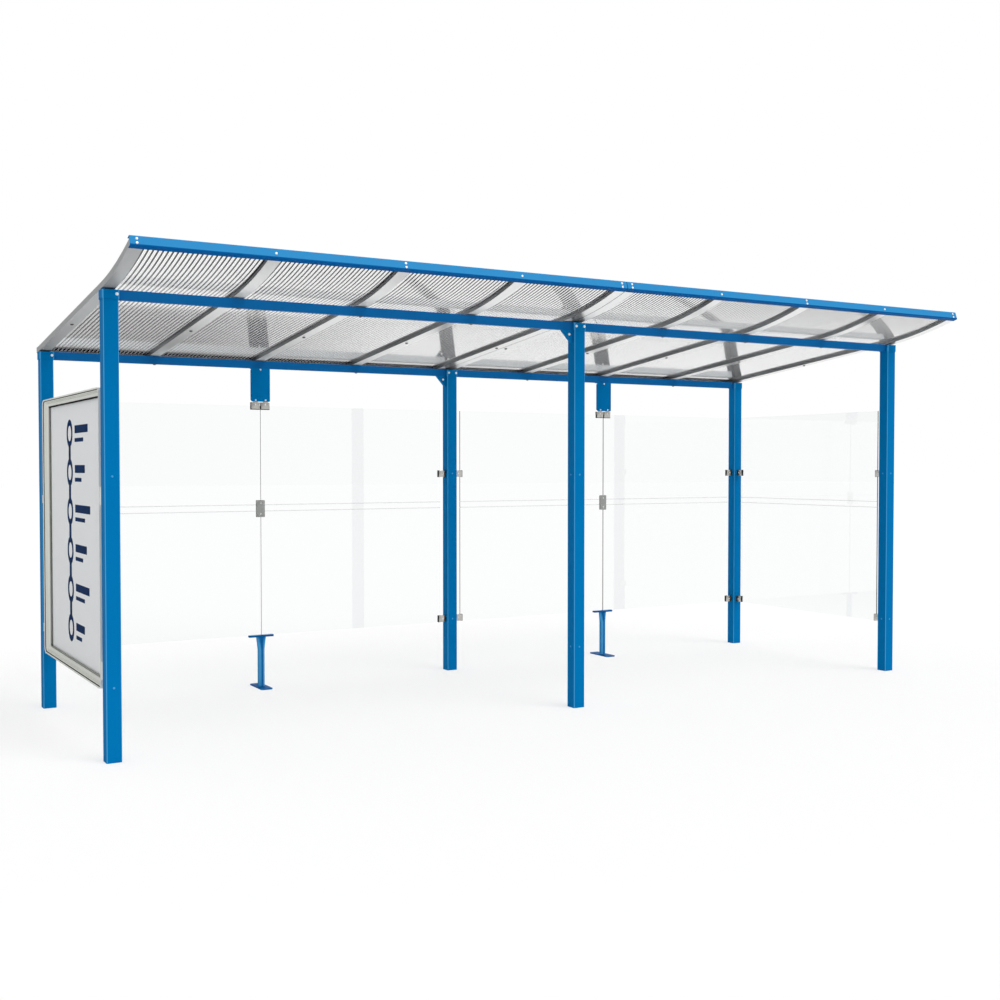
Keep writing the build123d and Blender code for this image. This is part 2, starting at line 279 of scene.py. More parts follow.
@dataclass(frozen=True)
class PowderCoat(Finish):
    """Polyester powder baked on steel: even colour, soft gloss and a faint orange peel."""

    colour: str = "0076B6"
    deep: str = "0070AE"
    # Painted highlight: the lighter colour on upright corners, from a share of the turn to its
    # full.
    corner: str = "4A9FD6"
    highlight_from: float = 0.1
    highlight_full: float = 0.4
    # Painted reflection: the grey that mirrored rays see in place of the paint.
    mirrored: str = "3C4146"
    drift_mm: float = 455.0
    peel_mm: float = 3.0
    roughness: float = 0.36
    spread: tuple[float, float] = (-0.04, 0.04)
    bump: tuple[float, float] = (0.12, 0.4)
    ior: float = 1.5
    sheen: float = 0.015

    def tone(self, tree: Tree, cloud: Node) -> Node:
        """Mix the drifting colour, with a painted highlight on upright corners.

        Args:
            tree: The material's tree.
            cloud: A slow drift from 0 to 1.

        Returns:
            The colour.
        """
        ends = {"Factor": cloud, "A": linear(self.deep), "B": linear(self.colour)}
        flat = tree.add("Mix", ends, data_type="RGBA")
        # Painted highlight: faces turned between X and Y take the corner colour.
        way = tree.facing()
        both = tree.add("Math", {0: way["X"], 1: way["Y"]}, operation="MULTIPLY")
        turned = tree.add("Math", {0: both}, operation="ABSOLUTE")
        ends = {"Value": turned, "From Min": self.highlight_from, "From Max": self.highlight_full}
        corner = tree.add("MapRange", ends)
        ends = {"Factor": corner, "A": flat, "B": linear(self.corner)}
        return tree.add("Mix", ends, data_type="RGBA")

    def surface(self, tree: Tree) -> Node:
        """Build paint whose colour drifts slowly, with a painted reflection: mirrored rays see a
        set grey in place of its colour.

        Args:
            tree: The material's tree.

        Returns:
            The shader.
        """
        cloud = tree.grain(3.0, self.drift_mm)
        tone = self.tone(tree, cloud)
        # Painted reflection: mirrored rays take the mirrored grey.
        ends = {"Factor": tree.mirror_ray(), "A": tone, "B": linear(self.mirrored)}
        shown = tree.add("Mix", ends, data_type="RGBA")
        peel = tree.grain(2.0, self.peel_mm)
        sockets = {"Base Color": shown, "IOR": self.ior, "Specular IOR Level": self.sheen}
        return tree.satin(cloud, self.roughness, self.spread, peel, self.bump, sockets)


@dataclass(frozen=True)
class ShadedLipCoat(PowderCoat):
    """Powder coat on a folded edge, with painted shade: the lip under the fold is painted a deeper
    colour than the face, for the shade it faces down into.
    """

    # Painted shade: the lip's deeper colour, below a height, blended over a span.
    lip: str = "005696"
    lip_shade_top_mm: float = 2264.0
    lip_shade_blend_mm: float = 3.0

    def tone(self, tree: Tree, cloud: Node) -> Node:
        """Mix the face's colour with the lip's painted shade, below the fold.

        Args:
            tree: The material's tree.
            cloud: A slow drift from 0 to 1.

        Returns:
            The colour.
        """
        face = super().tone(tree, cloud)
        height = tree.add("SeparateXYZ", {"Vector": tree.place}).outputs["Z"]
        start, end = (mm(self.lip_shade_top_mm + way * self.lip_shade_blend_mm / 2) for way in (-1, 1))
        ends = {"Value": height, "From Min": start, "From Max": end}
        above = tree.add("MapRange", ends)
        ends = {"Factor": above, "A": linear(self.lip), "B": face}
        return tree.add("Mix", ends, data_type="RGBA")


@dataclass(frozen=True)
class ExtrudedAluminium(Finish):
    """Natural anodised extrusion: pale satin metal with die lines along its length.

    Real die lines are finer than a millimetre, and are drawn coarser so that they show.
    """

    colour: str = "E2E4E5"
    streak: str = "D6D9DA"
    line_mm: float = 2.5
    run_mm: float = 667.0
    metallic: float = 0.3
    roughness: float = 0.32
    spread: tuple[float, float] = (-0.05, 0.07)
    bump: tuple[float, float] = (0.15, 0.3)
    lengthwise: int = 1
    # Painted shade: the grey laid over the sides, both or the left alone.
    side: str = ""
    shade_left_side_only: bool = False

    def shade_sides(self, tree: Tree, metal: Node) -> Node:
        """Paint grey shade over an extrusion's sides, or over its left side alone.

        Args:
            tree: The material's tree.
            metal: The bare metal's colour.

        Returns:
            The colour.
        """
        across = tree.facing()["X"]
        if self.shade_left_side_only:
            side_shade = tree.add("Math", {0: across, 1: -TURNED_TO}, operation="LESS_THAN")
        else:
            flat = tree.add("Math", {0: across}, operation="ABSOLUTE")
            side_shade = tree.add("Math", {0: flat, 1: TURNED_TO}, operation="GREATER_THAN")
        ends = {"Factor": side_shade, "A": metal, "B": linear(self.side)}
        return tree.add("Mix", ends, data_type="RGBA")

    def surface(self, tree: Tree) -> Node:
        """Build metal with streaks that run along one axis.

        Args:
            tree: The material's tree.

        Returns:
            The shader.
        """
        sizes = [self.run_mm if axis == self.lengthwise else self.line_mm for axis in range(3)]
        lines = tree.grain(3.0, *sizes)
        ends = {"Factor": lines, "A": linear(self.streak), "B": linear(self.colour)}
        metal = tree.add("Mix", ends, data_type="RGBA")
        if self.side:
            metal = self.shade_sides(tree, metal)
        sockets = {"Base Color": metal, "Metallic": self.metallic}
        return tree.satin(lines, self.roughness, self.spread, lines, self.bump, sockets)


@dataclass(frozen=True)
class StainlessSteel(Finish):
    """Ground stainless steel: grey-white metal with a short, fine grain.

    The belt's real scratches are a tenth of a millimetre wide, and are drawn coarser so that
    they show.
    """

    colour: str = "C4C2BD"
    grain_mm: float = 0.8
    scratch_mm: float = 11.2
    roughness: float = 0.3
    spread: tuple[float, float] = (-0.08, 0.12)
    bump: tuple[float, float] = (0.2, 0.2)
    metallic: float = 1.0

    def surface(self, tree: Tree) -> Node:
        """Build metal whose grain runs upright.

        Args:
            tree: The material's tree.

        Returns:
            The shader.
        """
        ground = tree.grain(2.0, self.grain_mm, self.grain_mm, self.scratch_mm)
        sockets = {"Base Color": linear(self.colour), "Metallic": self.metallic}
        return tree.satin(ground, self.roughness, self.spread, ground, self.bump, sockets)


@dataclass(frozen=True)
class DullSurface(Finish):
    """A dull surface whose colour drifts between two."""

    colour: str = "FFFFFF"
    second: str = "F0F0F0"
    sizes_mm: tuple[float, ...] = (10.0,)
    detail: float = 2.0
    roughness: float = 0.6
    sheen: float = 0.0

    def surface(self, tree: Tree) -> Node:
        """Build one shader from the two colours.

        Args:
            tree: The material's tree.

        Returns:
            The shader.
        """
        drift = tree.grain(self.detail, *self.sizes_mm)
        ends = {"Factor": drift, "A": linear(self.second), "B": linear(self.colour)}
        tone = tree.add("Mix", ends, data_type="RGBA")
        sockets = {"Base Color": tone, "Roughness": self.roughness}
        return tree.add("BsdfPrincipled", sockets | {"Specular IOR Level": self.sheen})


@dataclass(frozen=True)
class MouldedRubber(DullSurface):
    """Moulded EPDM: near black, dull, with a dusty bloom."""

    colour: str = "2E3031"
    second: str = "1B1C1D"
    sizes_mm: tuple[float, ...] = (4.2,)
    detail: float = 4.0
    roughness: float = 0.72
    sheen: float = 0.5


@dataclass(frozen=True)
class ClearSkin(Finish):
    """Extruded polycarbonate, under a millimetre thick: it bends nothing, and mirrors more the
    flatter it is seen.
    """

    tint: str = "FFFFFF"
    mirror: float = 2.85
    roughness: float = 0.06
    ior: float = 1.15
    ripple_mm: float = 6.25
    run_mm: float = 1650.0
    bump: tuple[float, float] = (0.04, 0.2)

    def surface(self, tree: Tree) -> Node:
        """Build a see-through face whose mirror lies on its outside alone.

        Args:
            tree: The material's tree.

        Returns:
            The shader.
        """
        ripple = tree.grain(1.0, self.ripple_mm, self.run_mm, self.run_mm)
        height = {"Strength": self.bump[0], "Distance": mm(self.bump[1]), "Height": ripple}
        sockets = {
            "Base Color": linear("FFFFFF"),
            "Metallic": 1.0,
            "Roughness": self.roughness,
            "Normal": tree.add("Bump", height),
        }
        shine = tree.add("BsdfPrincipled", sockets)
        through = tree.add("BsdfTransparent", {"Color": linear(self.tint)})
        flat = tree.add("Fresnel", {"IOR": self.ior})
        inside = tree.add("NewGeometry").outputs["Backfacing"]
        outside = tree.add("Math", {0: 1.0, 1: inside}, operation="SUBTRACT")
        level = tree.add("Math", {0: outside, 1: self.mirror}, operation="MULTIPLY")
        share = tree.add("Math", {0: flat, 1: level}, operation="MULTIPLY")
        return tree.add("MixShader", {0: share, 1: through, 2: shine})


@dataclass(frozen=True)
class HazyWall(Finish):
    """Unpolished polycarbonate inside the sheet: clear seen straight, grey seen flat along it."""

    tint: str = "FFFFFF"
    haze: str = "A8A8A8"
    roughness: float = 0.6
    cloud_mm: float = 111.0
    depth: float = 0.24
    drift: float = 0.05
    steepness: float = 6.0

    def surface(self, tree: Tree) -> Node:
        """Build a see-through wall whose haze grows towards a flat view.

        Args:
            tree: The material's tree.

        Returns:
            The shader.
        """
        through = tree.add("BsdfTransparent", {"Color": linear(self.tint)})
        sockets = {"Base Color": linear(self.haze), "Roughness": self.roughness}
        grey = tree.add("BsdfPrincipled", sockets)
        flat = tree.add("LayerWeight", {"Blend": 0.5}).outputs["Facing"]
        steep = tree.add("Math", {0: flat, 1: self.steepness}, operation="POWER")
        ends = {
            "Value": tree.grain(2.0, self.cloud_mm),
            "To Min": self.depth * (1 - self.drift),
            "To Max": self.depth * (1 + self.drift),
        }
        depth = tree.add("MapRange", ends)
        share = tree.add("Math", {0: steep, 1: depth}, operation="MULTIPLY")
        return tree.add("MixShader", {0: share, 1: through, 2: grey})


@dataclass(frozen=True)
class OpalPolycarbonate(DullSurface):
    """Pigmented polycarbonate: opal or grey, its pigment a little uneven along the sheet."""

    sizes_mm: tuple[float, ...] = (25.0, 830.0, 830.0)
    roughness: float = 0.55
    sheen: float = 0.2
    clear: float = 0.0
    lamp_tint: str = "FFFFFF"

    def surface(self, tree: Tree) -> Node:
        """Build a dull face that can be partly clear, and lets lamp light through.

        Args:
            tree: The material's tree.

        Returns:
            The shader.
        """
        through = tree.add("BsdfTransparent", {"Color": linear("FFFFFF")})
        ends = {0: self.clear, 1: super().surface(tree), 2: through}
        return tree.let_lamps_through(tree.add("MixShader", ends), self.lamp_tint)


@dataclass(frozen=True)
class ToughenedGlass(Finish):
    """Float glass, toughened: clear faces, pale green edges and two etched lines to be seen by."""

    colour: str = "FBFCFC"
    edge: str = "CFE0DA"
    etch: str = "C6CACB"
    lamp_tint: str = "F2F6F5"
    lines_at_mm: tuple[float, float] = (1111.0, 1073.0)
    line_mm: float = 5.0
    etch_depth: float = 0.22
    etch_roughness: float = 0.6
    ior: float = 1.52
    sheen: float = 0.1
    axis: int = 1

    def surface(self, tree: Tree) -> Node:
        """Build glass whose cut edges are green and whose etched lines scatter light.

        Args:
            tree: The material's tree.

        Returns:
            The shader.
        """
        way = tree.facing("True Normal")[self.axis]
        flat = tree.add("Math", {0: way}, operation="ABSOLUTE")
        face = tree.add("Math", {0: flat, 1: TURNED_TO}, operation="GREATER_THAN")
        height = tree.add("SeparateXYZ", {"Vector": tree.place}).outputs["Z"]
        half = mm(self.line_mm / 2)
        upper, lower = (
            tree.add("Math", {0: height, 1: mm(at), 2: half}, operation="COMPARE")
            for at in self.lines_at_mm
        )
        mask = tree.add("Math", {0: upper, 1: lower}, operation="MAXIMUM")
        ends = {"Factor": face, "A": linear(self.edge), "B": linear(self.colour)}
        sockets = {
            "Base Color": tree.add("Mix", ends, data_type="RGBA"),
            "Roughness": 0.0,
            "IOR": self.ior,
            "Specular IOR Level": self.sheen,
            "Transmission Weight": 1.0,
        }
        glass = tree.add("BsdfPrincipled", sockets)
        sockets = {"Base Color": linear(self.etch), "Roughness": self.etch_roughness}
        etch = tree.add("BsdfPrincipled", sockets | {"IOR": self.ior})
        thin = tree.add("Math", {0: mask, 1: self.etch_depth}, operation="MULTIPLY")
        both = tree.add("MixShader", {0: thin, 1: glass, 2: etch})
        return tree.let_lamps_through(both, self.lamp_tint)


@dataclass(frozen=True)
class PrintedPaper(DullSurface):
    """Offset print on coated poster paper: flat ink and a little fibre.

    Real fibre is about a millimetre long, and is drawn coarser so that it shows.
    """

    colour: str = "FBF9FA"
    second: str = "F4F2F4"
    sizes_mm: tuple[float, ...] = (11.1,)
    detail: float = 5.0


class Stock(Enum):
    """The finishes of the shelter's pieces."""

    # Polyester powder: one blue. The beams' deeper copy is painted shade under the roof, the
    # fascia's paler copy is a painted sheen over a lip of painted shade, and the feet's copy is
    # darker.
    PAINT = PowderCoat("frame_powder_coat")
    FOOT = PowderCoat("foot_powder_coat", colour="0F62A2", deep="0D5E9C")
    BEAM = PowderCoat("beam_powder_coat", colour="1268A8", deep="1064A4", mirrored="D4D8DA")
    # The fascia: paler than the frame's blue for a painted sheen, with its lip painted darker for
    # shade.
    FASCIA = ShadedLipCoat(
        "fascia_powder_coat", colour="348DC7", deep="2F89C3", mirrored="9CA0A4"
    )
    PANEL = PowderCoat("panel_powder_coat", colour="CFD2D3", deep="C6C9CB", roughness=0.5)
    # Nylon caps, moulded in the frame's blue: a little lighter and duller than its paint.
    PLUG = PowderCoat("plug_nylon", colour="4C9FD8", deep="4495CC", roughness=0.45)
    # Anodised rafters: bright metal that mirrors the roof, with painted grey shade on their sides;
    # on the right end rafter, on its left side alone.
    RAFTER = ExtrudedAluminium(
        "rafter_anodised_aluminium",
        colour="F8F8F8",
        streak="F0F0F0",
        metallic=0.9,
        roughness=0.3,
        side="A0A2A4",
    )
    RIGHT_RAFTER = replace(RAFTER, name="right_rafter_anodised_aluminium", shade_left_side_only=True)
    # The left end rafter: a darker, duller copy of the rafters' metal, painted shade.
    END_RAFTER = ExtrudedAluminium(
        "end_rafter_anodised_aluminium",
        colour="CACCCD",
        streak="BEC0C1",
        metallic=0.4,
        roughness=0.4,
    )
    EDGE = ExtrudedAluminium(
        "edge_anodised_aluminium",
        colour="F6F6F6",
        streak="EEEEEE",
        lengthwise=0,
        metallic=0.8,
        roughness=0.25,
    )
    # The case's extrusion: warm white and matt, with grey painted shade on the risers between its
    # slopes.
    CASE = ExtrudedAluminium(
        "case_anodised_aluminium", colour="F6F7F1", streak="EBECE6", lengthwise=2, metallic=0.1
    )
    SLOPE = replace(CASE, name="slope_anodised_aluminium", colour="F4F6EE", streak="E2E5DA")
    GROOVE = replace(CASE, name="groove_anodised_aluminium", colour="8A8D83", streak="7E8178")
    # Roof sheet: clear skins with a hazy mirror, a grey wall seen flat, and dark strips in it that
    # are painted shade for the dark lines at the webs.
    SKIN = ClearSkin("sheet_skin_polycarbonate")
    MATT_SKIN = ClearSkin("sheet_matt_skin_polycarbonate", mirror=2.4, roughness=0.13)
    INNER = HazyWall("sheet_inner_polycarbonate")
    WEB = OpalPolycarbonate(
        "sheet_web_opal_polycarbonate", colour="FAFAFA", second="F4F5F5", clear=0.9
    )
    # Grey strips: painted shade for the dark lines at the webs.
    STRIP = OpalPolycarbonate(
        "sheet_strip_grey_polycarbonate", colour="3A3B3C", second="323334", lamp_tint="9A9A9A"
    )
    # Glass and window: clear, with a pale green cut edge on the glass alone.
    REAR_PANE = ToughenedGlass("rear_toughened_glass")
    END_PANE = ToughenedGlass("end_toughened_glass", axis=0)
    WINDOW = ClearSkin(
        "case_window_polycarbonate", tint="FAFBFB", mirror=0.04, roughness=0.03, ior=1.585
    )
    # Fittings: ground steel clamps, greyer joiner plates, pale bolts and dark zinc screws.
    STEEL = StainlessSteel("fitting_stainless_steel")
    JOINER = StainlessSteel("joiner_stainless_steel", colour="A2A4A0", metallic=0.3)
    BOLT = StainlessSteel("bolt_stainless_steel", colour="FAFCFF", metallic=0.3)
    SCREW = StainlessSteel("screw_zinc_plated_steel", colour="787775", roughness=0.4)
    # Rubber and foam: near black. The foam's shineless black is painted shade, for the beam's dark
    # top mirrored in the sheet.
    RUBBER = MouldedRubber("clamp_epdm_rubber")
    # The case's black: painted shade in the profile's recess and along the top of the window's
    # strip.
    GASKET = MouldedRubber(
        "case_epdm_rubber", colour="161717", second="0B0C0C", roughness=0.85
    )
    FOAM = MouldedRubber(
        "cell_pe_foam", colour="0C0C0C", second="060606", roughness=1.0, sheen=0.0
    )
    # Poster: matt white paper with navy ink, a little glossier than the paper.
    PAPER = PrintedPaper("poster_paper")
    INK = PrintedPaper("poster_navy_ink", colour="22365C", second="273C64", roughness=0.42)

    def material(self) -> bpy.types.Material:
        """Return the finish's material."""
        return self.value.material()


# ---------------- modelling helpers


def focus(*pieces: Piece) -> None:
    """Select these pieces and nothing else, and make the first active.

    Args:
        pieces: The pieces.
    """
    bpy.ops.object.select_all(action="DESELECT")
    for piece in pieces:
        piece.select_set(True)
    bpy.context.view_layer.objects.active = pieces[0]


def settle(piece: Piece) -> Piece:
    """Put a piece's place into its mesh, so that its object sits at the origin.

    Args:
        piece: The piece.

    Returns:
        The same piece.
    """
    focus(piece)
    bpy.ops.object.transform_apply(location=True, rotation=True, scale=True)
    return piece


@contextmanager
def editing(piece: Piece, kind: str = "FACE") -> Iterator[None]:
    """Hold a piece in edit mode with nothing selected.

    Args:
        piece: The piece to edit.
        kind: VERT, EDGE or FACE, what is selected.

    Yields:
        Nothing, while the piece is held.
    """
    focus(piece)
    bpy.ops.object.mode_set(mode="EDIT")
    bpy.ops.mesh.select_mode(type=kind)
    bpy.ops.mesh.select_all(action="DESELECT")
    yield
    bpy.ops.object.mode_set(mode="OBJECT")


def pick(piece: Piece, kind: str, test: Callable[..., bool]) -> None:
    """Select what passes a test, in edit mode.

    Args:
        piece: The piece that is being edited.
        kind: verts, edges or faces.
        test: Called with each one, true to select it.
    """
    bpy.ops.mesh.select_all(action="DESELECT")
    mesh = bmesh.from_edit_mesh(piece.data)
    for item in getattr(mesh, kind):
        if test(item):
            item.select_set(True)
    mesh.select_flush_mode()
    bmesh.update_edit_mesh(piece.data)


def slice_all(point: Vector, normal: Vector) -> None:
    """Cut every face along a plane, in edit mode."""
    bpy.ops.mesh.select_all(action="SELECT")
    bpy.ops.mesh.bisect(plane_co=point, plane_no=normal)


def face_out() -> None:
    """Turn every face outwards, in edit mode."""
    bpy.ops.mesh.select_all(action="SELECT")
    bpy.ops.mesh.normals_make_consistent(inside=False)


def push(way: Vector) -> None:
    """Extrude what is selected by a vector, in edit mode."""
    bpy.ops.mesh.extrude_region_move(TRANSFORM_OT_translate={"value": way})


def round_edges(radius: float, segments: int = 3) -> None:
    """Bevel the selected edges by a radius in millimetres, in edit mode."""
    bpy.ops.mesh.bevel(offset=mm(radius), segments=segments, affect="EDGES")


def span(edge: bmesh.types.BMEdge) -> Vector:
    """Return the way from one end of an edge to the other."""
    return edge.verts[1].co - edge.verts[0].co


def primitive(kind: str, name: str, **settings: object) -> Piece:
    """Add a primitive to start a piece from, with nothing else selected.

    Args:
        kind: cube, cylinder or plane.
        name: The piece's name.
        settings: Its size and place.

    Returns:
        The primitive.
    """
    bpy.ops.object.select_all(action="DESELECT")
    getattr(bpy.ops.mesh, f"primitive_{kind}_add")(**settings)
    piece = bpy.context.object
    piece.name = name
    return piece


def block(name: str, low: Vector, high: Vector) -> Piece:
    """Add a box.

    Args:
        name: The piece's name.
        low: Its lowest corner.
        high: Its highest corner.

    Returns:
        The box.
    """
    piece = primitive("cube", name, size=1, location=(low + high) / 2)
    piece.scale = high - low
    return settle(piece)


def drum(name: str, foot: Vector, radius: float, height: float, sides: int) -> Piece:
    """Add an upright prism that stands on a point.

    Args:
        name: The piece's name.
        foot: Centre of its foot.
        radius: Radius over its corners, in millimetres.
        height: Its height in millimetres.
        sides: How many sides it has.

    Returns:
        The piece.
    """
    size = {"radius": mm(radius), "depth": mm(height), "vertices": sides}
    return settle(primitive("cylinder", name, location=foot + UP * mm(height) / 2, **size))


def modify(piece: Piece, kind: str, **settings: object) -> Piece:
    """Add a modifier and apply it.

    Args:
        piece: The piece to change.
        kind: The modifier's type.
        settings: Its properties.

    Returns:
        The same piece.
    """
    focus(piece)
    modifier = piece.modifiers.new(kind.title(), kind)
    for name, value in settings.items():
        setattr(modifier, name, value)
    bpy.ops.object.modifier_apply(modifier=modifier.name)
    return piece


def repeat(piece: Piece, count: int, pitch: float, **settings: object) -> Piece:
    """Repeat a piece along +X.

    Args:
        piece: The piece to repeat.
        count: How many there are in all.
        pitch: From one to the next, in metres.
        settings: Other properties of the array.

    Returns:
        The same piece.
    """
    step = {"use_relative_offset": False, "use_constant_offset": True}
    way = (pitch, 0, 0)
    return modify(piece, "ARRAY", count=count, constant_offset_displace=way, **step, **settings)


def cut(piece: Piece, cutter: Piece) -> Piece:
    """Take the cutter's shape out of a piece, and remove the cutter.

    Args:
        piece: The piece to cut.
        cutter: What is taken out of it.

    Returns:
        The same piece.
    """
    modify(piece, "BOOLEAN", operation="DIFFERENCE", object=cutter, solver="EXACT")
    bpy.data.objects.remove(cutter)
    return piece


def soften(piece: Piece, width: float, segments: int = 2) -> Piece:
    """Round a piece's sharp edges, and shade it smooth but for its corners.

    Args:
        piece: The piece.
        width: Width of the rounding in millimetres.
        segments: How many faces round an edge.

    Returns:
        The same piece.
    """
    modify(piece, "BEVEL", width=mm(width), segments=segments, limit_method="ANGLE")
    return smooth(piece)


def smooth(piece: Piece, degrees: float = 35.0) -> Piece:
    """Shade a piece smooth where its faces meet at less than an angle.

    Args:
        piece: The piece.
        degrees: The angle.

    Returns:
        The same piece.
    """
    focus(piece)
    bpy.ops.object.shade_smooth_by_angle(angle=math.radians(degrees))
    return piece


def duplicate(master: Piece, name: str, place: Matrix) -> Piece:
    """Copy a master with its own mesh, moved by a matrix.

    Args:
        master: What is copied.
        name: The copy's name.
        place: Where the copy's mesh goes.

    Returns:
        The copy.
    """
    twin = master.copy()
    twin.data = master.data.copy()
    twin.data.transform(place)
    twin.name = name
    bpy.context.scene.collection.objects.link(twin)
    return twin


def scatter(name: str, master: Piece, places: Sequence[Matrix]) -> Piece:
    """Copy a master to each place, join the copies and remove the master.

    Args:
        name: The joined piece's name.
        master: What is copied, modelled round the origin.
        places: One matrix for each copy.

    Returns:
        The joined piece.
    """
    made = [duplicate(master, name, place) for place in places]
    bpy.data.objects.remove(master)
    return merge(name, made)


def merge(name: str, pieces: Sequence[Piece]) -> Piece:
    """Join pieces into one object with a new name.

    Args:
        name: The joined piece's name.
        pieces: The pieces, one or more.

    Returns:
        The joined piece.
    """
    focus(*pieces)
    if len(pieces) > 1:
        bpy.ops.object.join()
    joined = bpy.context.view_layer.objects.active
    joined.name = name
    joined.data.name = name
    return joined


def aim(place: Vector, out: Vector, up: Vector | None = None) -> Matrix:
    """Make the matrix that stands a master's +Z along a direction at a point.

    Args:
        place: Where the master's origin goes.
        out: Where its +Z points.
        up: Where its +Y points, roughly.

    Returns:
        The matrix.
    """
    z = out.normalized()
    y = (up or (UP if abs(z.z) < SQUARE_ON else -OUT)).normalized()
    x = y.cross(z).normalized()
    y = z.cross(x)
    return Matrix.Translation(place) @ Matrix((x, y, z)).transposed().to_4x4()


def dress(piece: Piece, *finishes: Stock) -> Piece:
    """Give a piece its finishes, one to a material slot.

    Args:
        piece: The piece.
        finishes: Its finishes, in the order of the slots.

    Returns:
        The same piece.
    """
    piece.data.materials.clear()
    for finish in finishes:
        piece.data.materials.append(finish.material())
    return piece


def enrol(piece: Piece, slot: str, *nodes: str) -> None:
    """Hand a finished piece to the frame.

    Args:
        piece: The piece.
        slot: A finish slot's name; not used.
        nodes: The solids that it stands for.
    """
    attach(piece, "root")
    if nodes:
        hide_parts(*nodes)
    log.info("%s: %d faces", piece.name, len(piece.data.polygons))


# ---------------- the shelter's places


def centre(box: Box) -> Vector:
    """Return the middle of a box."""
    return (box[0] + box[1]) / 2


@dataclass(frozen=True)
class Places:
    """Where the frame's members stand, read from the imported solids."""

    rows: tuple[str, str] = ("front", "rear")
    columns: tuple[str, str, str] = ("left", "middle", "right")

    def post(self, row: str, column: str) -> Box:
        """Return a post's box."""
        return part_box(f"post_{row}_{column}")

    def post_x(self, column: str) -> float:
        """Return where a pair of posts stands along the shelter."""
        return centre(self.post("front", column)).x

    def row_y(self, row: str) -> float:
        """Return where a row of posts stands, front to rear."""
        return centre(self.post(row, "left")).y

    def beam(self, row: str) -> Box:
        """Return the box of a row's left beam."""
        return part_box(f"{row}_beam_left")

    def rafter_x(self, module: str, number: int) -> float:
        """Return the middle of a rafter."""
        return centre(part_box(f"rafter_{module}_{number}")).x

    def seam_x(self, module: str) -> float:
        """Return the seam between a module's two rear panes."""
        return centre(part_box(f"foot_{module}")).x


@dataclass(frozen=True)
class RoofLine:
    """The underside of the roof from rear to front: a straight run, then one arc."""

    rise_mm: float = 160.0
    run_mm: float = 1485.0
    bend_radius_mm: float = 2480.0
    bend_behind_mm: float = 15.0
    front_reach_mm: float = 520.0
    rear_reach_mm: float = 65.0
    seat_mm: float = 0.3
    places: Places = field(default_factory=Places)

    @cached_property
    def slope(self) -> float:
        """The straight run's angle."""
        return math.atan(self.rise_mm / self.run_mm)

    @cached_property
    def radius(self) -> float:
        """The arc's radius in metres."""
        return mm(self.bend_radius_mm)

    @cached_property
    def end_slope(self) -> float:
        """The arc's angle at the front end."""
        reach = (self.bend_behind_mm + self.front_reach_mm) / self.bend_radius_mm
        return math.asin(math.sin(self.slope) + reach)

    @cached_property
    def bend(self) -> Vector:
        """Where the straight run meets the arc, at X 0."""
        place = self.places.row_y("front"), self.places.beam("front")[1].z
        return Vector((0, place[0] + mm(self.bend_behind_mm), place[1] + mm(self.seat_mm)))

    @cached_property
    def forward(self) -> Vector:
        """The straight run's direction towards the front."""
        return Vector((0, -math.cos(self.slope), math.sin(self.slope)))

    @cached_property
    def square(self) -> Vector:
        """The direction square up off the straight run."""
        return Vector((0, math.sin(self.slope), math.cos(self.slope)))

    @cached_property
    def centre(self) -> Vector:
        """The arc's centre, above the roof, at X 0."""
        return self.bend + self.square * self.radius

    @cached_property
    def rear(self) -> Vector:
        """The rear end of the line, at X 0."""
        rear_y = self.places.row_y("rear") + mm(self.rear_reach_mm)
        return self.bend - self.forward * ((rear_y - self.bend.y) / math.cos(self.slope))

    def start(self, x: float, lift: float) -> Vector:
        """Return the point over the rear end at an X in metres and a lift in millimetres."""
        return Vector((x, self.rear.y, self.rear.z)) + self.square * mm(lift)

    def lift(self, point: Vector) -> float:
        """Measure how far a point lies above the line, square off it.

        Args:
            point: The point.

        Returns:
            The lift in metres.
        """
        if point.y > self.bend.y:
            return (point - self.bend).dot(self.square)
        arm = Vector((0, point.y - self.centre.y, point.z - self.centre.z))
        return self.radius - arm.length

    def at(self, x: float, y: float) -> tuple[Vector, Vector]:
        """Find the line's point at a place.

        Args:
            x: Where along the shelter.
            y: Where from front to rear.

        Returns:
            The point, and the direction square up off the line.
        """
        if y > self.bend.y:
            step = (self.bend.y - y) / math.cos(self.slope)
            point, square = self.bend + self.forward * step, self.square
        else:
            angle = math.asin((self.centre.y - y) / self.radius)
            square = Vector((0, math.sin(angle), math.cos(angle)))
            point = self.centre - square * self.radius
        return Vector((x, point.y, point.z)), square


# ---------------- roof sheets


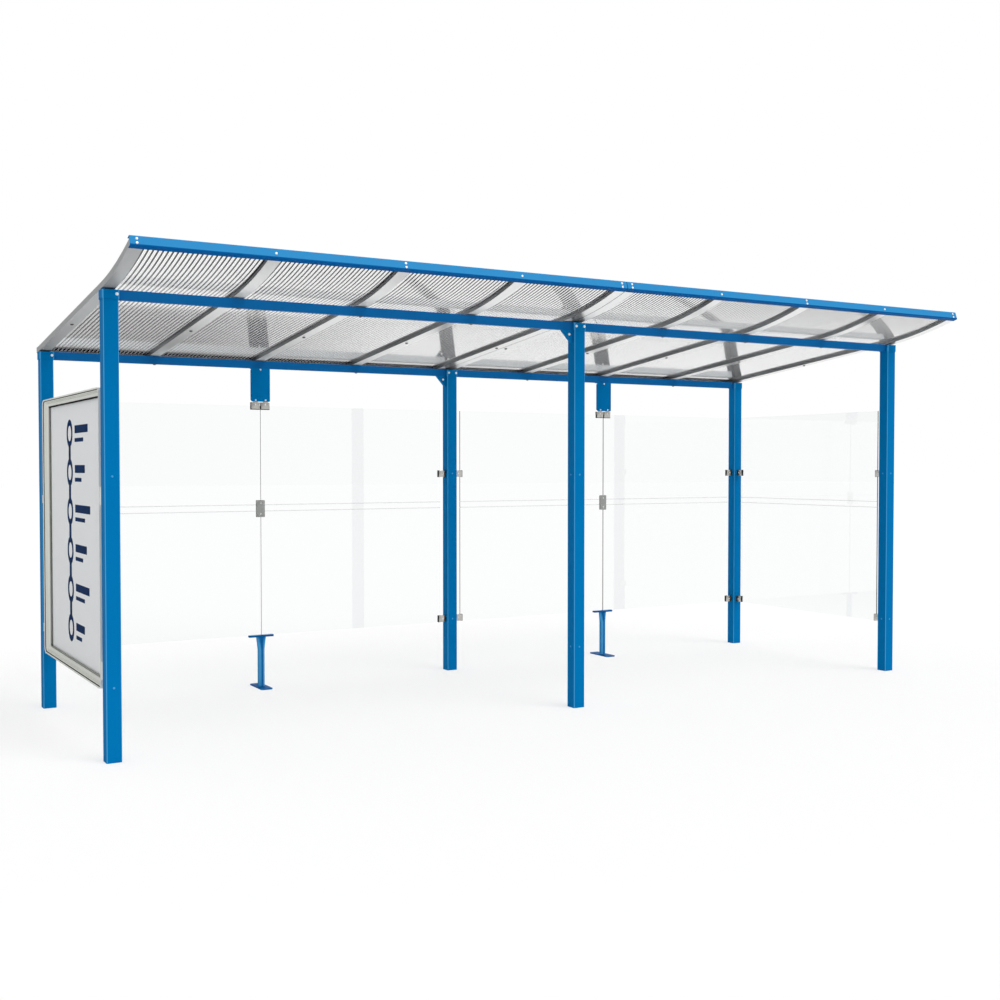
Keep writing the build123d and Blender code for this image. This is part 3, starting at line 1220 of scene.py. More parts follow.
@dataclass(frozen=True)
class MultiwallSheets:
    """Triple-wall sheets: clear skins, opal webs down the roof, and a wall with grey strips of
    painted shade.
    """

    thickness: float = 10.0
    skin: float = 0.8
    inner_wall: float = 0.5
    web: float = 0.9
    # Width of each grey strip of painted shade.
    strip: float = 8.5
    cell_pitch: float = 21.0
    over_rafters: float = 16.3
    bend_steps: int = 14
    slack: float = 0.1
    weld: float = 0.001
    crease: float = 20.0
    tape_top: float = 68.0
    tape_under: float = 15.0
    tape_gap: float = 0.4
    tape_sheet: float = 0.25
    plug_length: float = 92.0
    plug_width: float = 15.0
    plug_sheet: float = 0.5
    plug_waist: float = 0.45
    plug_point: float = 0.2
    line: RoofLine = field(default_factory=RoofLine)

    @property
    def levels(self) -> tuple[float, float, float, float]:
        """The heights in millimetres at which a wall starts or ends."""
        mid, half = self.thickness / 2, self.inner_wall / 2
        return (self.skin, mid - half, mid + half, self.thickness - self.skin)

    def cells(self, node: str) -> tuple[int, float]:
        """Share a sheet's width among whole cells.

        Args:
            node: The sheet's solid.

        Returns:
            How many cells it has, and the width of one in metres.
        """
        low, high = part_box(node)
        count = round((high.x - low.x) / mm(self.cell_pitch))
        return count, (high.x - low.x) / count

    def cell(self, name: str, x: float, pitch: float) -> Piece:
        """Draw one web with its share of the three walls, flat at the rear end.

        Args:
            name: The piece's name.
            x: Where the web stands.
            pitch: Width of the cell in metres.

        Returns:
            The flat outline.
        """
        square, thick = self.line.square, mm(self.thickness)
        base = self.line.start(x, self.over_rafters)
        turn = (math.pi / 2 - self.line.slope, 0, 0)
        middle = base + square * thick / 2
        piece = primitive("plane", name, size=1, location=middle, rotation=turn)
        piece.scale = (pitch, thick, 1)
        settle(piece)
        half_web, clear = mm(self.web / 2), pitch / 2 - mm(self.strip / 2)
        levels = [mm(level) for level in self.levels]
        hollows = levels[:2], levels[2:]
        with editing(piece, "VERT"):
            for side in (-clear, -half_web, half_web, clear):
                slice_all(Vector((x + side, 0, 0)), Vector((1, 0, 0)))
            for level in levels:
                slice_all(base + square * level, square)
            bpy.ops.mesh.select_mode(type="FACE")
            pick(
                piece,
                "faces",
                lambda face: abs(face.calc_center_median().x - x) > half_web
                and any(a < (face.calc_center_median() - base).dot(square) < b for a, b in hollows),
            )
            bpy.ops.mesh.delete(type="FACE")
        return piece

    def build(self, node: str) -> Piece:
        """Build one sheet along the roof line, in the place of its solid.

        Args:
            node: The solid's name.

        Returns:
            The sheet.
        """
        start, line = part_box(node)[0].x, self.line
        cells, pitch = self.cells(node)
        name = node.replace("roof_sheet", "multiwall_sheet")
        piece = self.cell(name, start + pitch / 2, pitch)
        repeat(piece, cells, pitch, use_merge_vertices=True, merge_threshold=NEAR)
        with editing(piece):
            bpy.ops.mesh.select_all(action="SELECT")
            push(line.forward * (line.bend - line.rear).length)
            bpy.ops.mesh.spin(
                steps=self.bend_steps,
                angle=line.end_slope - line.slope,
                center=line.centre,
                axis=(1, 0, 0),
            )
            bpy.ops.mesh.select_all(action="SELECT")
            bpy.ops.mesh.remove_doubles(threshold=mm(self.weld))
            face_out()
        self.sort_faces(piece, start, pitch)
        return smooth(piece, self.crease)

    def sort_faces(self, piece: Piece, start: float, pitch: float) -> None:
        """Give skins, inner faces, webs and strips their own material slots.

        Args:
            piece: The sheet.
            start: Its left edge.
            pitch: Width of a cell in metres.
        """
        finishes = (Stock.SKIN, Stock.MATT_SKIN, Stock.INNER, Stock.WEB, Stock.STRIP)
        dress(piece, *finishes)
        low, mid_low, mid_high, top = self.levels
        for face in piece.data.polygons:
            height = self.line.lift(face.center) * 1000 - self.over_rafters
            side = (face.center.x - start) % pitch - pitch / 2
            finish = Stock.INNER
            if height < low / 2:
                finish = Stock.MATT_SKIN if side > 0 else Stock.SKIN
            elif height > self.thickness - low / 2:
                finish = Stock.SKIN
            elif mid_low - self.slack < height < mid_high + self.slack:
                if abs(side) > pitch / 2 - mm(self.strip / 2):
                    finish = Stock.STRIP
            elif low + 2 * self.slack < height < top - 2 * self.slack:
                finish = Stock.WEB
            face.material_index = finishes.index(finish)

    def end_tape(self, node: str) -> Piece:
        """Wrap one sheet's rear end in black tape, painted shade for the beam's dark top mirrored
        there: wide on top, narrow below, and over the cells.

        Args:
            node: The sheet's solid.

        Returns:
            The tape.
        """
        low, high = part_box(node)
        half = (high.x - low.x - mm(self.tape_gap)) / 2
        under, corner = mm(self.tape_under), Vector((half, mm(self.tape_top), mm(self.thickness)))
        tape = block("tape", Vector((-half, 0, 0)), corner)
        with editing(tape):
            slice_all(Vector((0, under, 0)), Vector((0, 1, 0)))
            pick(
                tape,
                "faces",
                lambda face: abs(face.normal.x) > SQUARE_ON
                or face.normal.y > SQUARE_ON
                or (face.normal.z < -SQUARE_ON and face.calc_center_median().y > under),
            )
            bpy.ops.mesh.delete(type="FACE")
        modify(tape, "SOLIDIFY", thickness=mm(self.tape_sheet), offset=1.0)
        foot = self.line.start((low.x + high.x) / 2, self.over_rafters)
        tape.data.transform(aim(foot, self.line.square, self.line.forward))
        tape.name = node.replace("roof_sheet", "end_tape")
        return dress(smooth(tape), Stock.RUBBER)

    def cell_plugs(self, node: str) -> Piece:
        """Close the cells of one sheet from below with pointed black foam plugs, one to a strip:
        painted shade for the beam's dark top mirrored there.

        Args:
            node: The sheet's solid.

        Returns:
            The row of plugs.
        """
        cells, pitch = self.cells(node)
        half, near, far = mm(self.plug_width / 2, self.tape_under, self.plug_length)
        plug = block("plug", Vector((-half, near, 0)), Vector((half, far, mm(self.plug_sheet))))
        waist = near + (far - near) * self.plug_waist
        with editing(plug, "VERT"):
            slice_all(Vector((0, waist, 0)), Vector((0, 1, 0)))
            for end in (near, far):
                pick(plug, "verts", lambda vert: abs(vert.co.y - end) < NEAR)
                bpy.ops.transform.resize(value=(self.plug_point, 1, 1))
        repeat(plug, cells - 1, pitch)
        foot = self.line.start(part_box(node)[0].x + pitch, self.over_rafters - self.plug_sheet)
        mirrored = Matrix.Diagonal((-1, 1, 1, 1))
        plug.data.transform(aim(foot, self.line.square, self.line.forward) @ mirrored)
        with editing(plug):
            face_out()
        plug.name = node.replace("roof_sheet", "cell_plugs")
        return dress(plug, Stock.FOAM)

    def make(self) -> None:
        """Build one sheet of each width with its tape and plugs, copy it, and hand all over."""
        first_of: dict[int, str] = {}
        made: dict[str, list[Piece]] = {}
        for node in (f"roof_sheet_{module}_{n}" for module in MODULES for n in range(1, 5)):
            low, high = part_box(node)
            first = first_of.setdefault(round((high.x - low.x) * 10000), node)
            if first == node:
                made[node] = [self.build(node), self.end_tape(node), self.cell_plugs(node)]
                continue
            shift = Matrix.Translation((low.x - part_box(first)[0].x, 0, 0))
            tail, new_tail = (name.removeprefix("roof_sheet") for name in (first, node))
            made[node] = [
                duplicate(piece, piece.name.replace(tail, new_tail), shift)
                for piece in made[first]
            ]
        log.info("sheets: %d widths, %d sheets", len(first_of), len(made))
        for node, (sheet, tape, plugs) in made.items():
            enrol(sheet, "roof_sheet", node)
            enrol(tape, "roof_sheet")
            enrol(plugs, "roof_sheet")


# ---------------- fasteners


@dataclass(frozen=True)
class Fasteners:
    """Button-head bolts and screws with a hexagon socket, and plugs for spare holes."""

    head_size: tuple[float, float] = (15.0, 5.5)
    pad_size: tuple[float, float] = (13.0, 4.5)
    fascia_size: tuple[float, float] = (12.0, 3.6)
    rafter_size: tuple[float, float] = (17.0, 5.0)
    crease: float = 40.0
    sides: int = 20
    socket_sides: int = 6
    dome: float = 0.8
    socket: float = 0.2
    socket_foot: float = 0.45
    sleeve: float = 3.7
    head_spread: float = 26.0
    gusset_in: float = 57.0
    gusset_front: float = 13.0
    gusset_drop: float = 22.0
    pad_sink: float = 1.0
    fascia_sheet: float = 2.3
    pair_up: tuple[float, float] = (10.5, 30.0)
    single_up: tuple[float, ...] = (20.0,)
    mid_span: float = 765.0
    single_rafters: tuple[int, ...] = (2, 4)
    inner_rafters: tuple[int, ...] = (2, 3, 4)
    plug_heights: tuple[float, float] = (341.0, 1298.0)
    plug_radius: float = 5.5
    plug_height: float = 1.4
    plug_round: float = 1.0
    plug_sides: int = 16
    places: Places = field(default_factory=Places)
    line: RoofLine = field(default_factory=RoofLine)

    def button(self, name: str, across: float, height: float, finish: Stock = Stock.BOLT) -> Piece:
        """Model a button head that stands on the origin.

        Args:
            name: The piece's name.
            across: Diameter of the head in millimetres.
            height: Height of the head in millimetres.
            finish: Its metal.

        Returns:
            The head.
        """
        head = drum(name, Vector(), across / 2, height, self.sides)
        with editing(head):
            pick(head, "faces", lambda face: face.normal.z > SQUARE_ON)
            round_edges(height * self.dome)
        foot = UP * mm(height * self.socket_foot)
        cut(head, drum("socket", foot, across * self.socket, height, self.socket_sides))
        return smooth(dress(head, finish), self.crease)

    def fix(
        self,
        group: str,
        size: tuple[float, float],
        places: Sequence[Matrix],
        finish: Stock = Stock.BOLT,
    ) -> None:
        """Set one button head at each place.

        Args:
            group: The name of all of them.
            size: Diameter and height of the head in millimetres.
            places: Where they stand.
            finish: Their metal.
        """
        master = self.button(group.removesuffix("s"), *size, finish)
        enrol(scatter(group, master, places), "fitting_steel")

    def heads(self) -> None:
        """Bolt the sleeves to the posts, on their front faces."""
        spots = []
        for row in self.places.rows:
            beam = self.places.beam(row)
            face_y = self.places.post(row, "left")[0].y - mm(self.sleeve)
            for column, sides in (("left", (1,)), ("middle", (-1, 1))):
                for side in sides:
                    x = self.places.post_x(column) + side * mm(self.head_spread)
                    spots.append(Vector((x, face_y, centre(beam).z)))
            gusset = mm(-self.gusset_in, -self.gusset_front, -self.gusset_drop)
            corner = (self.places.post_x("middle"), self.places.row_y(row), beam[0].z)
            spots.append(Vector(corner) + gusset)
        self.fix("head_bolts", self.head_size, [aim(spot, OUT) for spot in spots])

    def end_pads(self) -> None:
        """Bolt the blank pads at the right end."""
        right, places = Vector((1, 0, 0)), []
        for row in self.places.rows:
            height = centre(self.places.beam(row)).z
            spot = Vector((cad_high.x - mm(self.pad_sink), self.places.row_y(row), height))
            places.append(aim(spot, right))
        self.fix("end_pad_bolts", self.pad_size, places)

    def fascia(self) -> None:
        """Screw the front edge to the rafters, in pairs at the module's ends and middle."""
        line, places = self.line, []
        out = Vector((0, -math.cos(line.end_slope), math.sin(line.end_slope)))
        front_y = self.places.row_y("front") - mm(line.front_reach_mm)
        for module, number in RAFTERS:
            end, up = line.at(self.places.rafter_x(module, number), front_y)
            for height in self.single_up if number in self.single_rafters else self.pair_up:
                spot = end + out * mm(self.fascia_sheet) + up * mm(height)
                places.append(aim(spot, out, up))
        self.fix("fascia_screws", self.fascia_size, places)

    def rafter_screws(self) -> None:
        """Screw the rafters from below: at both beams and once at mid span."""
        places = []
        y = self.places.row_y("front") + mm(self.mid_span)
        for module, number in RAFTERS:
            x = self.places.rafter_x(module, number)
            point, square = self.line.at(x, y)
            places.append(aim(point, -square))
            for row in self.places.rows if number in self.inner_rafters else ():
                under = (x, self.places.row_y(row), self.places.beam(row)[0].z)
                places.append(aim(Vector(under), -UP))
        self.fix("rafter_screws", self.rafter_size, places, Stock.SCREW)

    def post_plugs(self) -> None:
        """Plug the posts' spare clamp holes."""
        places, left = [], Vector((-1, 0, 0))
        for column in self.places.columns:
            for row in self.places.rows:
                post = self.places.post(row, column)
                low, mid = post[0], centre(post)
                for height in self.plug_heights:
                    places.append(aim(Vector((mid.x, low.y, mm(height))), OUT))
                    if row == "front" and column != "left":
                        places.append(aim(Vector((low.x, mid.y, mm(height))), left))
        plug = drum("plug", Vector(), self.plug_radius, self.plug_height, self.plug_sides)
        with editing(plug):
            pick(plug, "faces", lambda face: face.normal.z > SQUARE_ON)
            round_edges(self.plug_round, segments=2)
        smooth(dress(plug, Stock.PLUG), self.crease)
        enrol(scatter("post_plugs", plug, places), "frame_paint")

    def make(self) -> None:
        """Make every group of fasteners."""
        self.heads()
        self.end_pads()
        self.fascia()
        self.rafter_screws()
        self.post_plugs()


# ---------------- glass fittings


@dataclass(frozen=True)
class GlassFittings:
    """Clamps that grip the panes at the posts and hangers, and the seams' joiner plates."""

    length: float = 53.0
    height: float = 42.0
    thickness: float = 22.0
    slot: float = 8.6
    slot_depth: float = 13.3
    pad: float = 2.4
    cheek: float = 1.8
    glass: float = 8.0
    past: float = 60.0
    over: float = 10.0
    under: float = 1.0
    mouth_round: float = 3.5
    plate_round: float = 3.0
    metal_edge: float = 0.6
    thin_edge: float = 0.5
    heights: tuple[float, float] = (341.0, 1296.0)
    glass_top: float = 1710.0
    hanger_bite: float = 21.0
    hanger_slack: float = 0.3
    hanger_spread: float = 62.0
    tab_low: tuple[float, float, float] = (-16.0, -12.0, -0.5)
    tab_high: tuple[float, float, float] = (16.0, -9.0, 31.0)
    joiner_width: float = 53.0
    joiner_height: float = 103.0
    joiner_centre: float = 1088.0
    joiner_sheet: float = 3.0
    joiner_off: float = 4.3
    joiner_bolt: float = 32.0
    post_screw: float = 24.0
    hanger_screw: float = 14.0
    beam_bolt: float = 7.0
    clamp_bolt: float = 9.0
    joiner_size: tuple[float, float] = (9.0, 3.0)
    clamp_size: tuple[float, float] = (10.0, 3.2)
    hanger_size: tuple[float, float] = (11.0, 4.0)
    places: Places = field(default_factory=Places)
    fasteners: Fasteners = field(default_factory=Fasteners)

    def body(self, deep: float, length: float, height: float) -> Piece:
        """Model a clamp's metal body: it stands on the origin, with its mouth up.

        Args:
            deep: How far the glass goes in, in millimetres.
            length: From foot to mouth.
            height: Along the glass edge.

        Returns:
            The body.
        """
        half, thick, slot = height / 2, self.thickness / 2, self.slot / 2
        piece = block("clamp", mm(-half, -thick, 0), mm(half, thick, length))
        with editing(piece, "EDGE"):
            mouth = mm(length) - NEAR
            pick(piece, "edges", lambda edge: min(vert.co.z for vert in edge.verts) > mouth)
            round_edges(self.mouth_round)
        low = mm(-self.past, -slot, length - deep)
        cut(piece, block("slot", low, mm(self.past, slot, length + self.over)))
        return dress(soften(piece, self.metal_edge), Stock.STEEL)

    def rubber(self, deep: float, length: float, height: float) -> Piece:
        """Model the rubber that lines a clamp's mouth and shows at its three open sides.

        Args:
            deep: How far the glass goes in, in millimetres.
            length: From foot to mouth.
            height: Along the glass edge.

        Returns:
            The rubber.
        """
        half, wide = height / 2 + self.pad / 2, self.thickness / 2 - self.cheek
        foot, pane = length - deep, self.glass / 2
        lip = block("lining", mm(-half, -wide, foot), mm(half, wide, length + self.pad))
        low = mm(-self.past, -pane, foot - self.under)
        cut(lip, block("glass", low, mm(self.past, pane, length + self.over)))
        return dress(soften(lip, self.thin_edge, segments=1), Stock.RUBBER)

    def clamp_places(self) -> list[Matrix]:
        """Find where the post clamps stand, each with its mouth away from the post.

        Returns:
            One matrix for each clamp.
        """
        posts, matrices = self.places, []
        rear, right = posts.row_y("rear"), posts.post_x("right")
        half = posts.post("front", "left")[1].x - posts.post_x("left")
        columns = (("left", (1,)), ("middle", (-1, 1)), ("right", (-1,)))
        for z in (mm(height) for height in self.heights):
            for column, ways in columns:
                for way in ways:
                    spot = Vector((posts.post_x(column) + way * half, rear, z))
                    matrices.append(self.turn(spot, Vector((way, 0, 0))))
            for row, way in (("front", 1), ("rear", -1)):
                spot = Vector((right, posts.row_y(row) + way * half, z))
                matrices.append(self.turn(spot, Vector((0, way, 0))))
        return matrices

    def turn(self, spot: Vector, mouth: Vector) -> Matrix:
        """Stand a clamp on a spot so that its length runs upright.

        Args:
            spot: Where its foot stands.
            mouth: Where its mouth points.

        Returns:
            The matrix.
        """
        turned = Matrix((UP, mouth.cross(UP), mouth)).transposed()
        return Matrix.Translation(spot) @ turned.to_4x4()

    def screws(self, matrices: Sequence[Matrix], reach: float) -> list[Matrix]:
        """Find where the clamps' screws stand, one on each cheek.

        Args:
            matrices: Where the clamps stand.
            reach: From a clamp's foot to its screw, in millimetres.

        Returns:
            One matrix for each screw.
        """
        spots = []
        for matrix in matrices:
            for side in (-1, 1):
                place = matrix @ mm(0, side * self.thickness / 2, reach)
                out = (matrix.to_3x3() @ Vector((0, side, 0))).normalized()
                spots.append(aim(place, out))
        return spots

    def hanger_places(self) -> list[Matrix]:
        """Find where the hangers' clamps stand, mouth down on the panes' top edge.

        Returns:
            One matrix for each clamp.
        """
        rear, half = self.places.row_y("rear"), mm(self.hanger_spread / 2)
        top = mm(self.glass_top - self.hanger_bite + self.height)
        return [
            aim(Vector((self.places.seam_x(module) + side * half, rear, top)), -UP, -OUT)
            for module in MODULES
            for side in (-1, 1)
        ]

    def joiners(self) -> None:
        """Make the two plates of each seam, with bolts through the gap between the panes."""
        rear, plates, bolts = self.places.row_y("rear"), [], []
        across, up = self.joiner_width / 2, self.joiner_height / 2
        plate = block("plate", mm(-across, -up, 0), mm(across, up, self.joiner_sheet))
        with editing(plate, "EDGE"):
            pick(plate, "edges", lambda edge: abs(span(edge).z) > NEAR)
            round_edges(self.plate_round)
        dress(soften(plate, self.thin_edge), Stock.JOINER)
        for module in MODULES:
            spot = Vector((self.places.seam_x(module), rear, mm(self.joiner_centre)))
            for out in (OUT, -OUT):
                inner = spot + out * mm(self.joiner_off)
                plates.append(aim(inner, out))
                outer = inner + out * mm(self.joiner_sheet)
                for step in (-self.joiner_bolt, self.joiner_bolt):
                    bolts.append(aim(outer + UP * mm(step), out))
        enrol(scatter("joiner_plates", plate, plates), "fitting_steel", "glass_fittings")
        self.fasteners.fix("joiner_bolts", self.joiner_size, bolts)

    def make(self) -> None:
        """Make clamps, rubbers, screws and joiner plates."""
        posts, hangers = self.clamp_places(), self.hanger_places()
        metal, rubber = [], []
        for places, size in (
            (posts, (self.slot_depth, self.length, self.height)),
            (hangers, (self.hanger_bite + self.hanger_slack, self.height, self.length)),
        ):
            metal.append(scatter("metal", self.body(*size), places))
            rubber.append(scatter("rubber", self.rubber(*size), places))
        tab = block("tab", mm(*self.tab_low), mm(*self.tab_high))
        tabs = [Matrix.Translation(matrix.translation) for matrix in hangers]
        dress(soften(tab, self.thin_edge), Stock.STEEL)
        metal.append(scatter("tabs", tab, tabs))
        enrol(merge("glass_clamps", metal), "fitting_steel", "glass_fittings")
        enrol(merge("clamp_rubbers", rubber), "fitting_steel", "glass_fittings")
        screws = self.screws(posts, self.post_screw) + self.screws(hangers, self.hanger_screw)
        self.fasteners.fix("clamp_screws", self.clamp_size, screws)
        self.joiners()
        self.hanger_bolts()

    def hanger_bolts(self) -> None:
        """Bolt each hanger to the beam above and to its two clamps."""
        places, half = [], mm(self.hanger_spread / 2)
        beam_z = self.places.beam("rear")[0].z - mm(self.beam_bolt)
        for module in MODULES:
            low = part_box(f"hanger_{module}")[0]
            clamp_z = low.z + mm(self.clamp_bolt)
            for side, z in ((0, beam_z), (-1, clamp_z), (1, clamp_z)):
                x = self.places.seam_x(module) + side * half
                places.append(aim(Vector((x, low.y, z)), OUT))
        self.fasteners.fix("hanger_bolts", self.hanger_size, places)


# ---------------- poster case


@dataclass(frozen=True)
class Step:
    """One step of a profile: how far it goes in, how far it goes back, and its finish."""

    inset: float
    back: float
    finish: Stock = Stock.CASE


@dataclass(frozen=True)
class PosterCase:
    """The case at the left end: a stepped frame, a gasket in painted shade, the window and a route
    poster.
    """

    corner: float = 35.0
    # The grey and black steps are painted shade, on the risers and in the recess.
    steps: tuple[Step, ...] = (
        Step(5.0, 0.0),
        Step(1.5, 3.5),
        Step(2.5, 4.5, Stock.GASKET),
        Step(1.5, -1.0),
        Step(4.5, 4.6, Stock.SLOPE),
        Step(1.2, -0.8, Stock.GROOVE),
        Step(3.9, 4.6, Stock.SLOPE),
        Step(1.2, -0.8, Stock.GROOVE),
        Step(4.2, 4.8, Stock.SLOPE),
        Step(2.5, 0.6),
        Step(6.0, 8.0),
        Step(0.0, 6.0),
    )
    weld: float = 0.15
    crease: float = 28.0
    rebate: float = 16.0
    depth: float = 50.0
    # The gasket strip is coloured with painted shade alone.
    gasket_width: float = 8.0
    gasket_depth: float = 6.2
    gasket_bite: float = 0.2
    gasket_seat: float = 0.5
    top_shade_reach: float = 4.0
    back_sheet: float = 10.0
    corner_steps: int = 10
    stop_pitch: float = 200.0
    stop_radius: float = 72.0
    stop_hole: float = 0.55
    stop_cut: tuple[float, float] = (-1.0, 3.0)
    stop_y: float = 150.0
    stop_sides: int = 40
    link_width: float = 52.0
    link_bite: float = 10.0
    bar_round: float = 4.0
    words: tuple[float, ...] = (300.0, 230.0, 340.0, 260.0, 310.0, 200.0)
    words_y: float = 30.0
    word: tuple[float, float] = (18.0, 40.0)
    note: tuple[float, float] = (-36.0, 20.0)
    note_share: float = 2 / 3
    sheet_gap: float = 0.6
    sheet: float = 0.8
    sheet_round: float = 0.3
    sheet_margin: float = 3.0
    print_up: float = 0.15
    ink: float = 0.3
    screw_size: tuple[float, float] = (7.0, 2.0)
    screw_in: tuple[float, float] = (5.5, 7.0)
    screw_heights: tuple[float, ...] = (1243.0, 1175.0, 443.0, 375.0)
    fasteners: Fasteners = field(default_factory=Fasteners)

    @property
    def inset(self) -> float:
        """How far the profile goes in, in millimetres."""
        return sum(step.inset for step in self.steps)

    @property
    def window_at(self) -> float:
        """How far behind the outer face the window lies."""
        return sum(step.back for step in self.steps)

    def outline(self, name: str, depth: float, inset: float) -> Piece:
        """Add the case's rounded outline as one face that looks out of the shelter's end.

        Args:
            name: The piece's name.
            depth: How far behind the outer face, in millimetres.
            inset: How far inside the case's own outline.

        Returns:
            The face.
        """
        low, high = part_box("case_frame")
        place = (low.x + mm(depth), (low.y + high.y) / 2, (low.z + high.z) / 2)
        turn = (0, -math.pi / 2, 0)
        piece = primitive("plane", name, size=1, location=place, rotation=turn)
        size = high - low - mm(0, 2 * inset, 2 * inset)
        piece.scale = (size.z, size.y, 1)
        settle(piece)
        with editing(piece, "VERT"):
            bpy.ops.mesh.select_all(action="SELECT")
            radius = mm(self.corner - inset)
            bpy.ops.mesh.bevel(offset=radius, segments=self.corner_steps, affect="VERTICES")
        return piece

    def frame(self) -> None:
        """Make the frame: its outline goes forward, then in and back by the profile's steps."""
        piece = self.outline("case_profile", self.depth, 0)
        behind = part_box("case_frame")[0].x + mm(self.depth - self.back_sheet)
        finishes = (Stock.CASE, Stock.SLOPE, Stock.GROOVE, Stock.GASKET)
        dress(piece, *finishes)
        with editing(piece):
            bpy.ops.mesh.select_all(action="SELECT")
            push(mm(-self.depth, 0, 0))
            for step in self.steps:
                piece.active_material_index = finishes.index(step.finish)
                bpy.ops.object.material_slot_assign()
                bpy.ops.mesh.inset(thickness=mm(step.inset), depth=-mm(step.back))
            bpy.ops.mesh.delete(type="FACE")
            pick(
                piece,
                "faces",
                lambda face: face.normal.x > SQUARE_ON and face.calc_center_median().x > behind,
            )
            bpy.ops.mesh.inset(thickness=mm(self.inset - self.rebate))
            bpy.ops.mesh.inset(thickness=0, depth=-mm(self.depth - self.window_at))
            bpy.ops.mesh.inset(thickness=mm(self.rebate))
            bpy.ops.mesh.delete(type="FACE")
            bpy.ops.mesh.select_all(action="SELECT")
            bpy.ops.mesh.remove_doubles(threshold=mm(self.weld))
            face_out()
        enrol(smooth(piece, self.crease), "case_metal", "case_frame")

    def gasket(self) -> None:
        """Make the strip between the frame's inner edge and the window, grey with painted shade and
        black with painted shade along its top.
        """
        front, start = self.window_at - self.gasket_depth, self.inset - self.gasket_seat
        piece = self.outline("case_gasket", front, start)
        with editing(piece):
            bpy.ops.mesh.select_all(action="SELECT")
            bpy.ops.mesh.inset(thickness=mm(self.gasket_width))
            bpy.ops.mesh.delete(type="FACE")
            bpy.ops.mesh.select_all(action="SELECT")
            push(mm(self.gasket_depth + self.gasket_bite, 0, 0))
            face_out()
        drop = self.inset + self.gasket_width + self.top_shade_reach
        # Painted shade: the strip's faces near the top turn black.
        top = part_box("case_frame")[1].z - mm(drop)
        dress(smooth(piece), Stock.GROOVE, Stock.GASKET)
        for face in piece.data.polygons:
            face.material_index = int(face.center.z > top)
        enrol(piece, "case_metal")

    def bar(self, y: float, z: float, wide: float, tall: float) -> Piece:
        """Print a bar with rounded corners.

        Args:
            y: Its middle from the poster's, in millimetres.
            z: The same, upwards.
            wide: Its width.
            tall: Its height.

        Returns:
            The bar.
        """
        low = self.print_at(y - wide / 2, z - tall / 2)
        piece = block("bar", low, low + mm(self.ink, wide, tall))
        with editing(piece, "EDGE"):
            pick(piece, "edges", lambda edge: abs(span(edge).x) > NEAR)
            round_edges(self.bar_round)
        return piece

    def print_at(self, y: float, z: float) -> Vector:
        """Find a place on the printed face.

        Args:
            y: From the poster's middle, in millimetres.
            z: The same, upwards.

        Returns:
            The place.
        """
        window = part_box("case_window")
        face = window[1].x + mm(self.sheet_gap - self.print_up)
        return Vector((face, centre(window).y + mm(y), centre(window).z + mm(z)))

    def poster(self) -> None:
        """Print a plain route line with its stops on a sheet behind the window."""
        low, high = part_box("case_window")
        face, edge = high.x + mm(self.sheet_gap), mm(self.sheet_margin)
        sheet = block(
            "poster_sheet",
            Vector((face, low.y + edge, low.z + edge)),
            Vector((face + mm(self.sheet), high.y - edge, high.z - edge)),
        )
        enrol(dress(soften(sheet, self.sheet_round, segments=1), Stock.PAPER), "case_panel")
        ring = drum("stop", Vector(), self.stop_radius, self.ink, self.stop_sides)
        hole, (start, depth) = self.stop_radius * self.stop_hole, self.stop_cut
        cut(ring, drum("hole", mm(0, 0, start), hole, depth, self.stop_sides))
        parts, stops, last = [], [], len(self.words) - 1
        link = self.stop_pitch - 2 * self.stop_radius + self.link_bite
        for number, wide in enumerate(self.words):
            z = self.stop_pitch * (last / 2 - number)
            spot = self.print_at(self.stop_y, z) + mm(self.ink, 0, 0)
            stops.append(aim(spot, Vector((-1, 0, 0))))
            if number < last:
                mid = z - self.stop_pitch / 2
                parts.append(self.bar(self.stop_y, mid, self.link_width, link))
            for (up, tall), width in ((self.word, wide), (self.note, wide * self.note_share)):
                parts.append(self.bar(self.words_y - width / 2, z + up, width, tall))
        parts.append(scatter("stops", ring, stops))
        enrol(dress(merge("poster_print", parts), Stock.INK), "case_panel")

    def bracket_screws(self) -> None:
        """Screw the case's rim to its brackets."""
        low, (deep, side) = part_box("case_frame")[0], self.screw_in
        spots = (Vector((low.x, low.y, 0)) + mm(deep, side, z) for z in self.screw_heights)
        places = [aim(spot, Vector((-1, 0, 0))) for spot in spots]
        master = self.fasteners.button("rim_screw", *self.screw_size)
        enrol(scatter("case_screws", master, places), "fitting_steel")

    def make(self) -> None:
        """Make the frame, the gasket, the poster and the bracket screws."""
        self.frame()
        self.gasket()
        self.poster()
        self.bracket_screws()


# ---------------- painted and clear solids


@dataclass(frozen=True)
class PackedSolids:
    """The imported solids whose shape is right: they stay, and get their real finish."""

    finishes: tuple[tuple[str, Stock], ...] = (
        ("post_", Stock.PAINT),
        ("front_beam", Stock.BEAM),
        ("rear_beam", Stock.BEAM),
        ("head_brackets", Stock.PAINT),
        ("fascia", Stock.FASCIA),
        ("hanger", Stock.PAINT),
        ("foot", Stock.FOOT),
        ("rafter", Stock.RAFTER),
        ("rafter_left_1", Stock.END_RAFTER),
        ("rafter_right_5", Stock.RIGHT_RAFTER),
        ("rear_edge", Stock.EDGE),
        ("rear_glass", Stock.REAR_PANE),
        ("end_glass", Stock.END_PANE),
        ("case_window", Stock.WINDOW),
        ("case_back", Stock.PANEL),
        ("case_brackets", Stock.CASE),
    )

    def make(self) -> None:
        """Assign each finish by the start of the node's name, the last that fits."""
        for name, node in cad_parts.items():
            for start, finish in self.finishes:
                if name.startswith(start):
                    for slot in node.material_slots:
                        slot.material = finish.material()
                    log.info("%s: %s", name, finish.name)


# ---------------- studio


